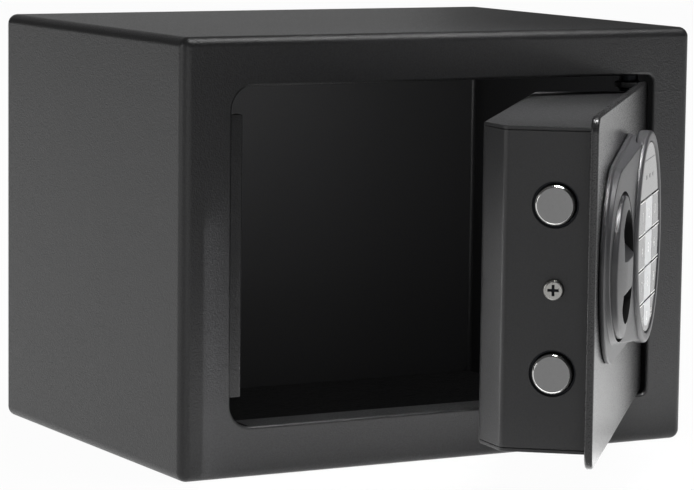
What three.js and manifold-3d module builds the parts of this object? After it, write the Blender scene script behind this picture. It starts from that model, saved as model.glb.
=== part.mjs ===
// Portable car safe: a small sheet steel box with a swinging door, a turning knob and a keypad.
// Millimetres, +Z up, +X to the right as seen from the front, and the front faces -Y.
// The origin is the centre of the body's underside. The door stands open, as it is photographed.
import * as THREE from 'three';
import { RoundedBoxGeometry } from 'three/addons/geometries/RoundedBoxGeometry.js';
import { mergeVertices } from 'three/addons/utils/BufferGeometryUtils.js';
import Module from 'manifold-3d';

const wasm = await Module();
wasm.setup();

// Clearances and counts that every piece shares
const seat = 0.3; // between pieces that rest on each other
const play = 0.4; // round a piece that turns or slides in a hole
const overrun = 6; // how far a cut runs past what it cuts
const cornerSteps = 4;
const roundSides = 20;
const ovalSides = 40;

// Body: a welded box of thin sheet with rounded edges
const bodyWidth = 230;
const bodyDepth = 170;
const bodyHeight = 170;
const bodySheet = 1.5;
const bodyEdge = 4;
const bodyEdgeSteps = 2;
const openingWidth = 191;
const openingHeight = 131;
const openingSill = 20; // from the underside up to the opening
const openingShift = 1.5; // of the opening's middle, towards the hinge
const openingCorner = 9;
const openingHingeCorner = 3;
const lipDepth = 15; // of the flanges above and below the opening
const lipRound = 1.2;
const rearLip = 10;
const fixingHole = 5; // radius of the two holes in the floor
const fixingSpan = 120;

// Door plate, hung on pins that stand a little inside its hinge edge
const doorSheet = 3;
const doorInset = 1; // behind the front of the body
const doorGapSide = 1.2;
const doorGapBelow = 1;
const doorGapAbove = 2.7;
const doorCorner = 6;
const doorEdge = 0.6;
const openAngle = 50.9; // degrees, as photographed
const pivotInset = 5.3;
const pivotDepth = 7.5;

// Folded cover over the mechanism behind the door plate
const coverSheet = 1.2;
const coverDepth = 44.7; // from the front of the door plate
const coverSideInset = 9; // from the plate's free edge
const coverSideDepth = 34.4; // where the side wall bends into the sloped facet
const coverFacetWidth = 16;
const coverHingeInset = 5.6;
const coverHingeDepth = 14;
const coverHingeSlope = 14;
const coverMargin = 4.6; // above and below

// Knob and mechanism
const knobRadius = 26.8;
const knobInset = 43; // of its axis, from the plate's free edge
const knobLift = 5.3; // of its axis, above the middle of the door
const knobTurn = 90; // degrees
const spindleRadius = 3;
const camRadius = 8; // from the spindle to the driving pin
const boltRadius = 7.25;
const boltSpacing = 61;
const boltLift = 0.5; // of the pair's middle, above the middle of the door
const boltDepth = 16; // of the bolts' axes, from the front of the door plate
const boltProud = 2; // out of the cover when drawn back
const boltLength = 29.7;

// Control panel on the front of the door
const padInset = 106; // of the keypad's middle, from the plate's free edge
const padLift = 9.2; // above the middle of the door
const padWidth = 70;
const padHeight = 82;
const padProud = 9.4; // of its rim at the middle, in front of the door plate
const padTilt = 2.1; // degrees, rising towards the hinge
const padRim = 4;
const keyTop = 0.5; // below the rim
const keyThick = 1.6;
const keyPitch = 13.3;
const keyColumn = 20.5; // width of the middle column
const keyGap = 0.5;

// Places that follow from the sizes above
const front = -bodyDepth / 2;
const rear = bodyDepth / 2;
const openingLeft = openingShift - openingWidth / 2;
const openingRight = openingShift + openingWidth / 2;
const openingMiddle = openingSill + openingHeight / 2;
const openingTop = openingSill + openingHeight;
const plateFront = front + doorInset;
const plateBack = plateFront + doorSheet;
const plateLeft = openingLeft + doorGapSide;
const plateRight = openingRight - doorGapSide;
const plateBottom = openingSill + doorGapBelow;
const plateTop = openingTop - doorGapAbove;
const plateMiddle = (plateBottom + plateTop) / 2;
const pivotX = plateRight - pivotInset;
const pivotY = plateFront + pivotDepth;
const coverFront = plateBack + seat;
const coverRear = plateFront + coverDepth;
const coverInside = coverRear - coverSheet;
const coverBottom = plateBottom + coverMargin;
const coverTop = plateTop - coverMargin;
const coverLeft = plateLeft + coverSideInset;
const knobX = plateLeft + knobInset;
const knobZ = plateMiddle + knobLift;
const boltY = plateFront + boltDepth;
const boltMiddle = plateMiddle + boltLift;
const boltHeights = [boltMiddle + boltSpacing / 2, boltMiddle - boltSpacing / 2];
const boltTip = coverLeft - boltProud;
const halfTurn = THREE.MathUtils.degToRad(knobTurn / 2);
const throwLength = 2 * camRadius * Math.sin(halfTurn);
const padX = plateLeft + padInset;
const padZ = plateMiddle + padLift;
const tilt = THREE.MathUtils.degToRad(padTilt);

const UP = new THREE.Vector3(0, 0, 1);
const DOWN = new THREE.Vector3(0, 0, -1);
const OUT = new THREE.Vector3(0, -1, 0); // out of the door's front
const IN = new THREE.Vector3(0, 1, 0); // into the door
const FREE = new THREE.Vector3(-1, 0, 0); // towards the door's free edge
const HINGE = new THREE.Vector3(1, 0, 0);

// A closed geometry as a solid that can be cut and joined
function solid(geometry) {
  geometry.deleteAttribute('normal');
  geometry.deleteAttribute('uv');
  const merged = mergeVertices(geometry);
  const corners = [];
  const { array } = merged.index;
  for (let i = 0; i < array.length; i += 3) {
    const [a, b, c] = array.slice(i, i + 3);
    if (a !== b && b !== c && c !== a) corners.push(a, b, c);
  }
  const vertProperties = merged.getAttribute('position').array;
  return new wasm.Manifold(new wasm.Mesh({ numProp: 3, vertProperties, triVerts: new Uint32Array(corners) }));
}

// A solid through rings of as many points each, closed by a flat fan at both ends
function loft(rings) {
  const count = rings[0].length;
  const points = rings.flat();
  const corners = [];
  for (let level = 0; level < rings.length - 1; level += 1) {
    for (let i = 0; i < count; i += 1) {
      const a = level * count + i;
      const b = level * count + (i + 1) % count;
      corners.push(a, b, b + count, a, b + count, a + count);
    }
  }
  for (const level of [0, rings.length - 1]) {
    const centre = new THREE.Vector3();
    rings[level].forEach((point) => centre.addScaledVector(point, 1 / count));
    points.push(centre);
    for (let i = 0; i < count; i += 1) {
      const a = level * count + i;
      const b = level * count + (i + 1) % count;
      corners.push(...(level === 0 ? [b, a] : [a, b]), points.length - 1);
    }
  }
  const volume = (a, b, c) => points[a].dot(new THREE.Vector3().crossVectors(points[b], points[c]));
  let sum = 0;
  for (let i = 0; i < corners.length; i += 3) sum += volume(...corners.slice(i, i + 3));
  if (sum < 0) corners.reverse();
  const geometry = new THREE.BufferGeometry().setFromPoints(points);
  geometry.setIndex(corners);
  return solid(geometry);
}

// Points round a rectangle with round corners, about the origin; the corners on its +X side may differ
function rounded(width, height, radius, hingeRadius = radius) {
  const points = [];
  [[1, 1], [-1, 1], [-1, -1], [1, -1]].forEach(([sideX, sideY], quarter) => {
    const corner = sideX > 0 ? hingeRadius : radius;
    for (let i = 0; i <= cornerSteps; i += 1) {
      const turn = (quarter + i / cornerSteps) * Math.PI / 2;
      const x = sideX * (width / 2 - corner) + corner * Math.cos(turn);
      const y = sideY * (height / 2 - corner) + corner * Math.sin(turn);
      points.push([x, y]);
    }
  });
  return points;
}

// Points round the tight band about one or more ovals, each { x, z, a, b } with half axes a and b
function band(ovals) {
  return Array.from({ length: ovalSides }, (_, i) => {
    const turn = (i / ovalSides) * 2 * Math.PI;
    const [c, s] = [Math.cos(turn), Math.sin(turn)];
    const reach = ({ x, z, a, b }) => x * c + z * s + Math.hypot(a * c, b * s);
    const { x, z, a, b } = ovals.reduce((best, oval) => (reach(oval) > reach(best) ? oval : best));
    const size = Math.hypot(a * c, b * s);
    return [x + a * a * c / size, z + b * b * s / size];
  });
}

// A ring that stands parallel to the door, and one that lies level
const standing = (outline, x, z, y) => outline.map(([u, v]) => new THREE.Vector3(x + u, y, z + v));
const lying = (outline, x, y, z) => outline.map(([u, v]) => new THREE.Vector3(x + u, y + v, z));

function upright(outline, x, z, fromY, toY) {
  return loft([standing(outline, x, z, fromY), standing(outline, x, z, toY)]);
}

function box(fromX, toX, fromY, toY, fromZ, toZ) {
  const geometry = new THREE.BoxGeometry(toX - fromX, toY - fromY, toZ - fromZ);
  return solid(geometry.translate((fromX + toX) / 2, (fromY + toY) / 2, (fromZ + toZ) / 2));
}

// A turned piece: a profile of [radius, distance] along a direction from a point
function turned(profile, direction, x, y, z, sides = roundSides) {
  const geometry = new THREE.LatheGeometry(profile.map(([r, h]) => new THREE.Vector2(r, h)), sides);
  geometry.applyQuaternion(new THREE.Quaternion().setFromUnitVectors(new THREE.Vector3(0, 1, 0), direction));
  return solid(geometry.translate(x, y, z));
}

function rod(radius, from, to, direction, x, y, z, sides = roundSides) {
  return turned([[0, from], [radius, from], [radius, to], [0, to]], direction, x, y, z, sides);
}

const join = (...solids) => solids.reduce((whole, next) => whole.add(next));
const cut = (from, ...tools) => tools.reduce((left, tool) => left.subtract(tool), from);

const finishes = {
  bodySteel: [0x2b2b2c, 0.62, 0.1],
  doorSteel: [0x2a2a2b, 0.55, 0.1],
  coverSteel: [0x232324, 0.6, 0.1],
  platedSteel: [0xa9aaa8, 0.35, 0.9],
  bareSteel: [0x8d9092, 0.4, 0.9],
  darkPlastic: [0x2e2f31, 0.45, 0],
  blackPlastic: [0x151516, 0.4, 0],
  keyDark: [0x1b1b1d, 0.35, 0],
  keyLight: [0xa7a9ab, 0.4, 0],
  windowDark: [0x101012, 0.15, 0],
  carpet: [0x1d1d1e, 1, 0],
  boardGreen: [0x1f5a37, 0.5, 0],
  copper: [0x9a5a2c, 0.45, 0.6],
  batteryWrap: [0x3c4b57, 0.35, 0.1],
  redPlastic: [0xb4231f, 0.4, 0],
  ledRed: [0x8a2320, 0.3, 0],
  ledGreen: [0x2c6b35, 0.3, 0],
  ledAmber: [0x8d6a1f, 0.3, 0],
  ribbonGrey: [0x9c9ea0, 0.6, 0],
};

const safe = new THREE.Group();
const door = new THREE.Group();
door.position.set(pivotX, pivotY, 0);
door.rotation.z = THREE.MathUtils.degToRad(openAngle);
const leaf = new THREE.Group(); // holds the door's pieces where they lie when it is shut
leaf.position.set(-pivotX, -pivotY, 0);
const face = new THREE.Group(); // the keypad's tilted face, with its own origin in the rim's plane
face.position.set(padX, plateFront - padProud, padZ);
face.rotation.z = -tilt;
safe.add(door);
door.add(leaf);
leaf.add(face);

function piece(group, name, part, finish) {
  const { vertProperties, triVerts, numProp } = part.getMesh();
  const geometry = new THREE.BufferGeometry();
  geometry.setAttribute('position', new THREE.BufferAttribute(vertProperties, numProp));
  geometry.setIndex(new THREE.BufferAttribute(triVerts, 1));
  geometry.computeVertexNormals();
  const [color, roughness, metalness] = finishes[finish];
  const mesh = new THREE.Mesh(geometry, new THREE.MeshStandardMaterial({ color, roughness, metalness }));
  mesh.name = name;
  group.add(mesh);
}

// Hinge pins, the lugs that carry them and the plates that they turn in
const pinRadius = 2.5;
const pinHeadRadius = 4;
const pinEnd = 1;
const lugThick = 2.5;
const lugRadius = 5.5;
const lugDrop = 0.3;
const hingePlateThick = 3;
const hingePlateReach = 12;
const hingePlateDepth = 20;
const hingeSides = [
  { name: 'upper', up: 1, opening: openingTop, plate: plateTop, cover: coverTop, axis: UP },
  { name: 'lower', up: -1, opening: openingSill, plate: plateBottom, cover: coverBottom, axis: DOWN },
];
const lugOuter = ({ up, plate }) => plate - up * lugDrop;
const lugInner = (side) => lugOuter(side) - side.up * lugThick;
const hingePlateInner = ({ up, opening }) => opening + up * (bodySheet + seat);
const hingePlateOuter = (side) => hingePlateInner(side) + side.up * hingePlateThick;

// The body's shell, with the flanges that fold in above and below the opening
function bodyShell() {
  const inner = bodySheet * 2;
  const outside = new RoundedBoxGeometry(bodyWidth, bodyDepth, bodyHeight, bodyEdgeSteps, bodyEdge);
  const inside = new RoundedBoxGeometry(bodyWidth - inner, bodyDepth - inner, bodyHeight - inner,
    bodyEdgeSteps, bodyEdge - bodySheet);
  const mouth = (grow, y) => standing(rounded(openingWidth + 2 * grow, openingHeight + 2 * grow,
    openingCorner + grow, openingHingeCorner + grow), openingShift, openingMiddle, y);
  const rings = [mouth(lipRound, front - overrun)];
  for (let i = 0; i <= cornerSteps; i += 1) {
    const turn = (1 - i / cornerSteps) * Math.PI / 2;
    rings.push(mouth(lipRound * (1 - Math.cos(turn)), front + lipRound * (1 - Math.sin(turn))));
  }
  rings.push(mouth(0, front + overrun));
  const rearWindow = rounded(bodyWidth - 2 * rearLip, bodyHeight - 2 * rearLip, bodyEdge);
  const flanges = hingeSides.map(({ up, opening }) => {
    const [low, high] = [opening, opening + up * bodySheet].sort((a, b) => a - b);
    return box(openingLeft + openingCorner, openingRight - openingHingeCorner / 2,
      front + lipRound, front + lipDepth, low, high);
  });
  const pinHoles = hingeSides.map(({ opening }) => (
    rod(pinRadius + play, -overrun, overrun, UP, pivotX, pivotY, opening)));
  const floorHoles = [-1, 1].map((sign) => (
    rod(fixingHole, -overrun, overrun, UP, sign * fixingSpan / 2, 0, 0)));
  const walls = cut(
    cut(solid(outside), solid(inside)).translate([0, 0, bodyHeight / 2]),
    loft(rings),
    upright(rearWindow, 0, bodyHeight / 2, rear - overrun, rear + overrun),
  );
  return cut(join(walls, ...flanges), ...pinHoles, ...floorHoles);
}

// The back of the body, welded inside the rear lip
const rearPanelRear = rear - bodySheet - seat;
function rearPanel() {
  const outline = rounded(bodyWidth - 2 * bodyEdge, bodyHeight - 2 * bodyEdge, bodyEdge);
  return upright(outline, 0, bodyHeight / 2, rearPanelRear - bodySheet, rearPanelRear);
}

// The folded bar beside the opening that the door shuts against and the bolts hook behind
const strikeSheet = 2;
const strikeReach = 6.5;
const strikeMargin = 11;
const strikeWeld = 14;
const strikeJog = 3;
const strikeDepth = 9.2; // of its folded edge, behind the front of the body
function strikeBar() {
  const edge = openingLeft + strikeReach;
  const weldFront = front + bodySheet + seat;
  const stopFront = plateBack + seat;
  const bottom = openingSill + strikeMargin;
  const top = openingTop - strikeMargin;
  return join(
    box(openingLeft - strikeWeld, openingLeft - strikeJog + strikeSheet,
      weldFront, weldFront + strikeSheet, bottom, top),
    box(openingLeft - strikeJog, openingLeft - strikeJog + strikeSheet,
      weldFront, stopFront + strikeSheet, bottom, top),
    box(openingLeft - strikeJog, edge, stopFront, stopFront + strikeSheet, bottom, top),
    box(edge - strikeSheet, edge, stopFront, front + strikeDepth, bottom, top),
  );
}

const matThick = 3;
const matGap = 2.2;
function floorMat() {
  const fromY = front + bodySheet + matGap;
  const toY = rearPanelRear - bodySheet - matGap;
  const outline = rounded(bodyWidth - 2 * (bodySheet + matGap), toY - fromY, bodyEdge);
  const middle = (fromY + toY) / 2;
  const bottom = bodySheet + seat;
  return loft([lying(outline, 0, middle, bottom), lying(outline, 0, middle, bottom + matThick)]);
}

function hingePlate(side) {
  const [low, high] = [hingePlateInner(side), hingePlateOuter(side)].sort((a, b) => a - b);
  const fromY = front + bodySheet + seat;
  return cut(
    box(pivotX - hingePlateReach, pivotX + hingePlateReach, fromY, fromY + hingePlateDepth, low, high),
    rod(pinRadius + play, low - overrun, high + overrun, UP, pivotX, pivotY, 0),
  );
}

function hingeLug(side) {
  const [low, high] = [lugInner(side), lugOuter(side)].sort((a, b) => a - b);
  const reach = 2 * lugRadius;
  const foot = plateBack + seat;
  return cut(
    join(
      rod(lugRadius, low, high, UP, pivotX, pivotY, 0),
      box(pivotX - lugRadius, plateRight, foot, pivotY, low, high),
    ),
    box(pivotX - reach, pivotX + reach, foot - reach, foot, low - overrun, high + overrun),
    rod(pinRadius + seat, low - overrun, high + overrun, UP, pivotX, pivotY, 0),
  );
}

// A pin with its head between the cover and the lug, and a collar that rides on the flange
function hingePin(side) {
  const { up, opening, cover, axis } = side;
  const collar = pinHeadRadius - seat;
  const levels = [
    [0, cover + up * seat],
    [pinHeadRadius, cover + up * seat],
    [pinHeadRadius, lugInner(side) - up * seat],
    [pinRadius, lugInner(side) - up * seat],
    [pinRadius, lugOuter(side) + up * seat],
    [collar, lugOuter(side) + up * seat],
    [collar, opening - up * seat],
    [pinRadius, opening - up * seat],
    [pinRadius, hingePlateOuter(side) + up * pinEnd],
    [0, hingePlateOuter(side) + up * pinEnd],
  ];
  return turned(levels.map(([r, z]) => [r, up * z]), axis, pivotX, pivotY, 0);
}

// Panel pieces are placed by their height in front of the door plate
const wellGap = 0.9;
const wellFloor = 1.4;
const panelScrewRadius = 1.6;
const leftScrewShift = 26; // of the left screw from the knob's axis, towards the hinge
const leftScrewDrop = 21.5;
const rightScrewRise = 13; // of the right screw, from the keypad's lower edge
const cableShift = 17; // of the cable from the keypad's middle, towards the hinge
const cableLift = 16;
const cableWidth = 10;
const cableThick = 1.5;
const padOval = { x: padX, z: padZ, a: padWidth / 2, b: padHeight / 2 };
const cableX = padX + cableShift;
const cableZ = padZ + cableLift;
const cableSlot = (fromY, toY) => box(cableX - cableWidth / 2 - seat, cableX + cableWidth / 2 + seat,
  fromY, toY, cableZ - cableThick / 2 - seat, cableZ + cableThick / 2 + seat);

function doorPlate() {
  const width = plateRight - plateLeft;
  const height = plateTop - plateBottom;
  const middle = (plateLeft + plateRight) / 2;
  const ring = (inset, y) => standing(
    rounded(width - 2 * inset, height - 2 * inset, doorCorner - inset), middle, plateMiddle, y);
  const slab = loft([
    ring(doorEdge, plateFront),
    ring(0, plateFront + doorEdge),
    ring(0, plateBack - doorEdge),
    ring(doorEdge, plateBack),
  ]);
  return cut(
    slab,
    rod(spindleRadius + play, -overrun, overrun, IN, knobX, plateFront, knobZ),
    cableSlot(plateFront - overrun, plateBack + overrun),
    ...panelScrewPlaces().map(({ x, z }) => (
      rod(panelScrewRadius + seat, -overrun, overrun, IN, x, plateFront, z))),
  );
}

function panelScrewPlaces() {
  return [
    { name: 'left', x: knobX + leftScrewShift, z: knobZ - leftScrewDrop },
    { name: 'right', x: padX, z: padZ - padHeight / 2 + rightScrewRise },
  ];
}

// The cover's plan outline, drawn in by an inset, from the free edge round to the hinge edge
function coverOutline(inset) {
  const right = plateRight - coverHingeInset;
  const shape = new THREE.Shape();
  const slope = Math.hypot(coverFacetWidth, coverDepth - coverSideDepth);
  const facetShift = inset * (slope - coverFacetWidth) / (coverDepth - coverSideDepth);
  const sideShift = inset * (slope - coverDepth + coverSideDepth) / coverFacetWidth;
  const rise = coverDepth - coverHingeDepth;
  const hingeSlope = Math.hypot(coverHingeSlope, rise);
  const hingeShift = inset * (hingeSlope - coverHingeSlope) / rise;
  const backShift = inset * (hingeSlope - rise) / coverHingeSlope;
  shape.moveTo(coverLeft + inset, coverFront - (inset ? overrun : 0));
  shape.lineTo(coverLeft + inset, plateFront + coverSideDepth - sideShift);
  shape.lineTo(coverLeft + coverFacetWidth + facetShift, coverRear - inset);
  shape.lineTo(right - coverHingeSlope - hingeShift, coverRear - inset);
  shape.lineTo(right - inset, plateFront + coverHingeDepth - backShift);
  shape.lineTo(right - inset, coverFront - (inset ? overrun : 0));
  return shape;
}

const boltHole = 8.5;
const screwRadius = 1.9;
const screwHeadRadius = 3.8;
const screwHeadHeight = 1.9;
const screwLength = 7;
const screwRecess = 1;
const coverScrewInset = 11; // of the rear screws, from the cover's slope at the hinge
const coverScrewSpan = 88;
const coverScrewHeights = [plateMiddle + coverScrewSpan / 2, plateMiddle - coverScrewSpan / 2];
const coverScrewX = plateRight - coverHingeInset - coverHingeSlope - coverScrewInset;

// Battery box behind the cover's rear wall, and the lid over it
const cellRadius = 7.1;
const cellLength = 50.5;
const cellPitch = 15;
const cellCount = 4;
const boxWall = 1.5;
const boxShift = 106; // of its middle, from the cover's free side
const boxDrop = 26;
const boxX = coverLeft + boxShift;
const boxZ = plateMiddle - boxDrop;
const cellRoom = cellLength + 2 * seat;
const boxWidth = cellRoom + 2 * boxWall;
const boxHeight = cellCount * cellPitch + 2 * boxWall;
const boxDepth = 2 * cellRadius + 2 * seat + boxWall;
const boxRear = coverInside - seat;
const cellY = boxRear - seat - cellRadius;
const lidMargin = 3;
const lidThick = 1.6;
const lidSlide = 12;
const resetShift = 50;
const resetLift = 34;
const resetX = coverLeft + resetShift;
const resetZ = plateMiddle + resetLift;
const resetRadius = 3;
const resetProud = 1.2;
const resetTravel = 0.8;

function mechanismCover() {
  const shell = (inset, low, high) => {
    const geometry = new THREE.ExtrudeGeometry(coverOutline(inset), { depth: high - low, bevelEnabled: false });
    return solid(geometry.translate(0, 0, low));
  };
  const roomWidth = boxWidth - 2 * lidMargin;
  const roomHeight = boxHeight - 2 * lidMargin;
  return cut(
    shell(0, coverBottom, coverTop),
    shell(coverSheet, coverBottom + coverSheet, coverTop - coverSheet),
    ...boltHeights.map((z) => rod(boltHole, -overrun, overrun, FREE, coverLeft, boltY, z)),
    rod(screwRadius + seat, -overrun, overrun, FREE, coverLeft, boltY, boltMiddle),
    ...coverScrewHeights.map((z) => rod(screwRadius + seat, -overrun, overrun, IN, coverScrewX, coverRear, z)),
    rod(resetRadius + seat, -overrun, overrun, IN, resetX, coverRear, resetZ),
    box(boxX - roomWidth / 2, boxX + roomWidth / 2, coverInside - overrun, coverRear + overrun,
      boxZ - roomHeight / 2, boxZ + roomHeight / 2),
  );
}

// A pan-head screw with a cross recess, its head seated on a face
function screw(direction, x, y, z) {
  const head = turned([
    [0, -screwLength],
    [screwRadius, -screwLength],
    [screwRadius, seat],
    [screwHeadRadius, seat],
    [screwHeadRadius, seat + screwHeadHeight / 2],
    [screwHeadRadius / 2, seat + screwHeadHeight],
    [0, seat + screwHeadHeight],
  ], direction, x, y, z);
  const arm = screwHeadRadius / 2;
  const slot = screwRecess / 2;
  const top = seat + screwHeadHeight;
  const deep = top - screwRecess;
  const along = direction.clone().multiplyScalar((deep + top + overrun) / 2);
  const place = [x + along.x, y + along.y, z + along.z];
  const bar = (sizeX, sizeY, sizeZ) => {
    const geometry = new THREE.BoxGeometry(sizeX, sizeY, sizeZ);
    return solid(geometry.translate(...place));
  };
  const length = top + overrun - deep;
  const bars = direction.x !== 0
    ? [bar(length, 2 * arm, 2 * slot), bar(length, 2 * slot, 2 * arm)]
    : [bar(2 * arm, length, 2 * slot), bar(2 * slot, length, 2 * arm)];
  return cut(head, ...bars);
}

// The folded bracket that guides the bolts, and the carrier that draws both of them
const bracketSheet = 2;
const bracketGap = 0.8;
const bracketMargin = 7; // past the bolts' outer sides
const bracketFoot = 15;
const bracketDepth = 27;
const bracketX = coverLeft + coverSheet + bracketGap;
const carrierSheet = 2;
const carrierDepth = 10;
const carrierX = boltTip + boltLength + seat;
const carrierLength = 40;
const carrierY = plateFront + carrierDepth;
const tenonRadius = 4;
const tabRadius = 8.5;
const tabDepth = 25.5;
const pinClear = 0.5;
const camPin = 2;
const armLength = 32;
const armHeight = 12;
const armDrop = 5; // of its upper edge, below the middle of the door
const armTop = plateMiddle - armDrop;
const guideShift = 24;
const guideX = carrierX + guideShift;
const guideRadius = 2.5;
const guideHead = 4.5;
const plungerDrop = 4;
const plungerRadius = 3;
const plungerShift = 56;
const plungerX = carrierX + plungerShift;
const plungerY = carrierY + carrierSheet / 2;

function boltBracket() {
  const low = boltHeights[1] - boltRadius - bracketMargin;
  const high = boltHeights[0] + boltRadius + bracketMargin;
  const footFront = plateBack + seat;
  return cut(
    join(
      box(bracketX, bracketX + bracketSheet, footFront, plateFront + bracketDepth, low, high),
      box(bracketX, bracketX + bracketFoot, footFront, footFront + bracketSheet, low, high),
    ),
    ...boltHeights.map((z) => rod(boltRadius + play, -overrun, overrun, FREE, bracketX, boltY, z)),
    rod(screwRadius + seat, -overrun, overrun, FREE, bracketX, boltY, boltMiddle),
  );
}

const boltEdge = 1;
function bolt(z) {
  const root = -boltLength;
  return turned([
    [0, root - carrierSheet - 2 * seat - boltEdge],
    [tenonRadius, root - carrierSheet - 2 * seat - boltEdge],
    [tenonRadius, root],
    [boltRadius, root],
    [boltRadius, -boltEdge],
    [boltRadius - boltEdge, 0],
    [0, 0],
  ], FREE, boltTip, boltY, z, roundSides + cornerSteps);
}

function boltCarrier() {
  const tabs = boltHeights.map((z) => box(carrierX, carrierX + carrierSheet, carrierY,
    plateFront + tabDepth, z - tabRadius, z + tabRadius));
  const low = boltHeights[1] - tabRadius;
  const high = boltHeights[0] + tabRadius;
  const web = box(carrierX, carrierX + carrierLength, carrierY, carrierY + carrierSheet, low, high);
  const armEnd = carrierX + carrierLength + armLength;
  const arm = box(carrierX + carrierLength - overrun, armEnd, carrierY, carrierY + carrierSheet,
    armTop - armHeight, armTop);
  const rampStart = plungerX - plungerRadius;
  const ramp = new THREE.Shape();
  ramp.moveTo(rampStart, armTop);
  ramp.lineTo(rampStart + throwLength, armTop - plungerDrop);
  ramp.lineTo(armEnd + overrun, armTop - plungerDrop);
  ramp.lineTo(armEnd + overrun, armTop + overrun);
  ramp.lineTo(rampStart, armTop + overrun);
  const rampCut = new THREE.ExtrudeGeometry(ramp, { depth: carrierSheet + 2 * overrun, bevelEnabled: false });
  rampCut.rotateX(Math.PI / 2).translate(0, carrierY + carrierSheet + overrun, 0);
  const slotMiddle = knobX + throwLength / 2;
  const half = spindleRadius + pinClear;
  const pinHalf = camPin + pinClear;
  return cut(
    join(web, arm, ...tabs),
    solid(rampCut),
    box(carrierX - overrun, knobX + throwLength + half, carrierY - overrun, carrierY + overrun,
      knobZ - half, knobZ + half),
    box(slotMiddle - pinHalf, slotMiddle + pinHalf, carrierY - overrun, carrierY + overrun,
      knobZ, knobZ + camRadius + pinHalf),
    ...boltHeights.map((z) => rod(tenonRadius + seat, -overrun, overrun, FREE, carrierX, boltY, z)),
    ...boltHeights.map((z) => box(guideX - guideRadius - play, guideX + guideRadius + play + throwLength,
      carrierY - overrun, carrierY + overrun, z - guideRadius - play, z + guideRadius + play)),
  );
}

function guideScrew(z) {
  const shoulder = carrierDepth - seat;
  const neck = carrierDepth + carrierSheet + seat;
  return turned([
    [0, doorSheet + seat],
    [guideHead, doorSheet + seat],
    [guideHead, shoulder],
    [guideRadius, shoulder],
    [guideRadius, neck],
    [guideHead, neck],
    [guideHead, neck + carrierSheet],
    [0, neck + carrierSheet],
  ], IN, guideX, plateFront, z);
}

// The cam turns with the knob, and its pin pushes the carrier along
const camHub = 7;
const camTip = 4;
const camThick = 2.6;
const camGap = 1.2;
const camBack = carrierDepth - camGap;
const spindleEnd = 14;
function cam() {
  const pinX = knobX + camRadius * Math.sin(halfTurn);
  const pinZ = knobZ + camRadius * Math.cos(halfTurn);
  const outline = band([{ x: knobX, z: knobZ, a: camHub, b: camHub }, { x: pinX, z: pinZ, a: camTip, b: camTip }]);
  return cut(
    join(
      upright(outline, 0, 0, plateFront + camBack - camThick, plateFront + camBack),
      rod(camPin, camBack - camThick, carrierDepth + carrierSheet + pinClear, IN, pinX, plateFront, pinZ),
    ),
    rod(spindleRadius + seat, 0, spindleEnd, IN, knobX, plateFront, knobZ),
  );
}

// The solenoid, whose plunger rides down the carrier's ramp as the bolts go out
const coilRadius = 5.8;
const coilHeight = 23.4;
const frameSheet = 1.6;
const frameLift = 16; // above the carrier's arm
const frameBottom = armTop + frameLift;
const coilBottom = frameBottom + frameSheet + seat;
const frameTop = coilBottom + coilHeight + seat;
const plungerBottom = armTop + seat;
const collarRadius = 5;
const collarLift = 7.5;
const collarBottom = plungerBottom + collarLift;
const collarThick = 1.5;

function solenoidFrame() {
  const footFront = plateBack + seat;
  const back = plungerY + coilRadius + seat;
  const half = coilRadius + seat;
  const leg = (z) => box(plungerX - half, plungerX + half, footFront, back, z, z + frameSheet);
  return cut(
    join(
      box(plungerX - half, plungerX + half, footFront, footFront + frameSheet, frameBottom, frameTop + frameSheet),
      leg(frameBottom),
      leg(frameTop),
    ),
    rod(plungerRadius + play, frameBottom - overrun, frameBottom + overrun, UP, plungerX, plungerY, 0),
  );
}

const coilGroove = 1.2;
function solenoidCoil() {
  const bore = plungerRadius + play;
  const top = coilBottom + coilHeight;
  return turned([
    [bore, coilBottom],
    [coilRadius, coilBottom],
    [coilRadius, coilBottom + coilGroove],
    [coilRadius - coilGroove, coilBottom + coilGroove],
    [coilRadius - coilGroove, top - coilGroove],
    [coilRadius, top - coilGroove],
    [coilRadius, top],
    [bore, top],
    [bore, coilBottom],
  ], UP, plungerX, plungerY, 0);
}

function solenoidPlunger() {
  const tip = plungerRadius / 2;
  return turned([
    [0, plungerBottom],
    [plungerRadius - tip / 2, plungerBottom],
    [plungerRadius, plungerBottom + tip],
    [plungerRadius, collarBottom],
    [collarRadius, collarBottom],
    [collarRadius, collarBottom + collarThick],
    [plungerRadius, collarBottom + collarThick],
    [plungerRadius, frameTop - plungerDrop],
    [0, frameTop - plungerDrop],
  ], UP, plungerX, plungerY, 0);
}

function solenoidSpring() {
  const bottom = collarBottom + collarThick + seat;
  const top = frameBottom - seat;
  const outer = collarRadius - seat;
  const inner = plungerRadius + play;
  return turned([[inner, bottom], [outer, bottom], [outer, top], [inner, top], [inner, bottom]],
    UP, plungerX, plungerY, 0);
}

// The control board on its moulded tray, between the solenoid and the hinge
const trayShift = 14; // of its middle, from the cable
const trayLift = 34;
const trayX = cableX + trayShift;
const trayZ = plateMiddle + trayLift;
const trayWidth = 44;
const trayHeight = 40;
const trayThick = 2;
const postRadius = 3;
const postHeight = 6;
const boardThick = 1.6;
const boardY = plateBack + 2 * seat + trayThick + postHeight;

function boardTray() {
  const bottom = plateBack + seat;
  const base = box(trayX - trayWidth / 2, trayX + trayWidth / 2, bottom, bottom + trayThick,
    trayZ - trayHeight / 2, trayZ + trayHeight / 2);
  const posts = [[-1, -1], [1, -1], [-1, 1], [1, 1]].map(([u, v]) => rod(postRadius, bottom,
    bottom + trayThick + postHeight, IN, trayX + u * (trayWidth / 2 - 2 * postRadius), 0,
    trayZ + v * (trayHeight / 2 - 2 * postRadius), cornerSteps * 3));
  return join(cut(base, cableSlot(plateBack, plateBack + overrun)), ...posts);
}

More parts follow.
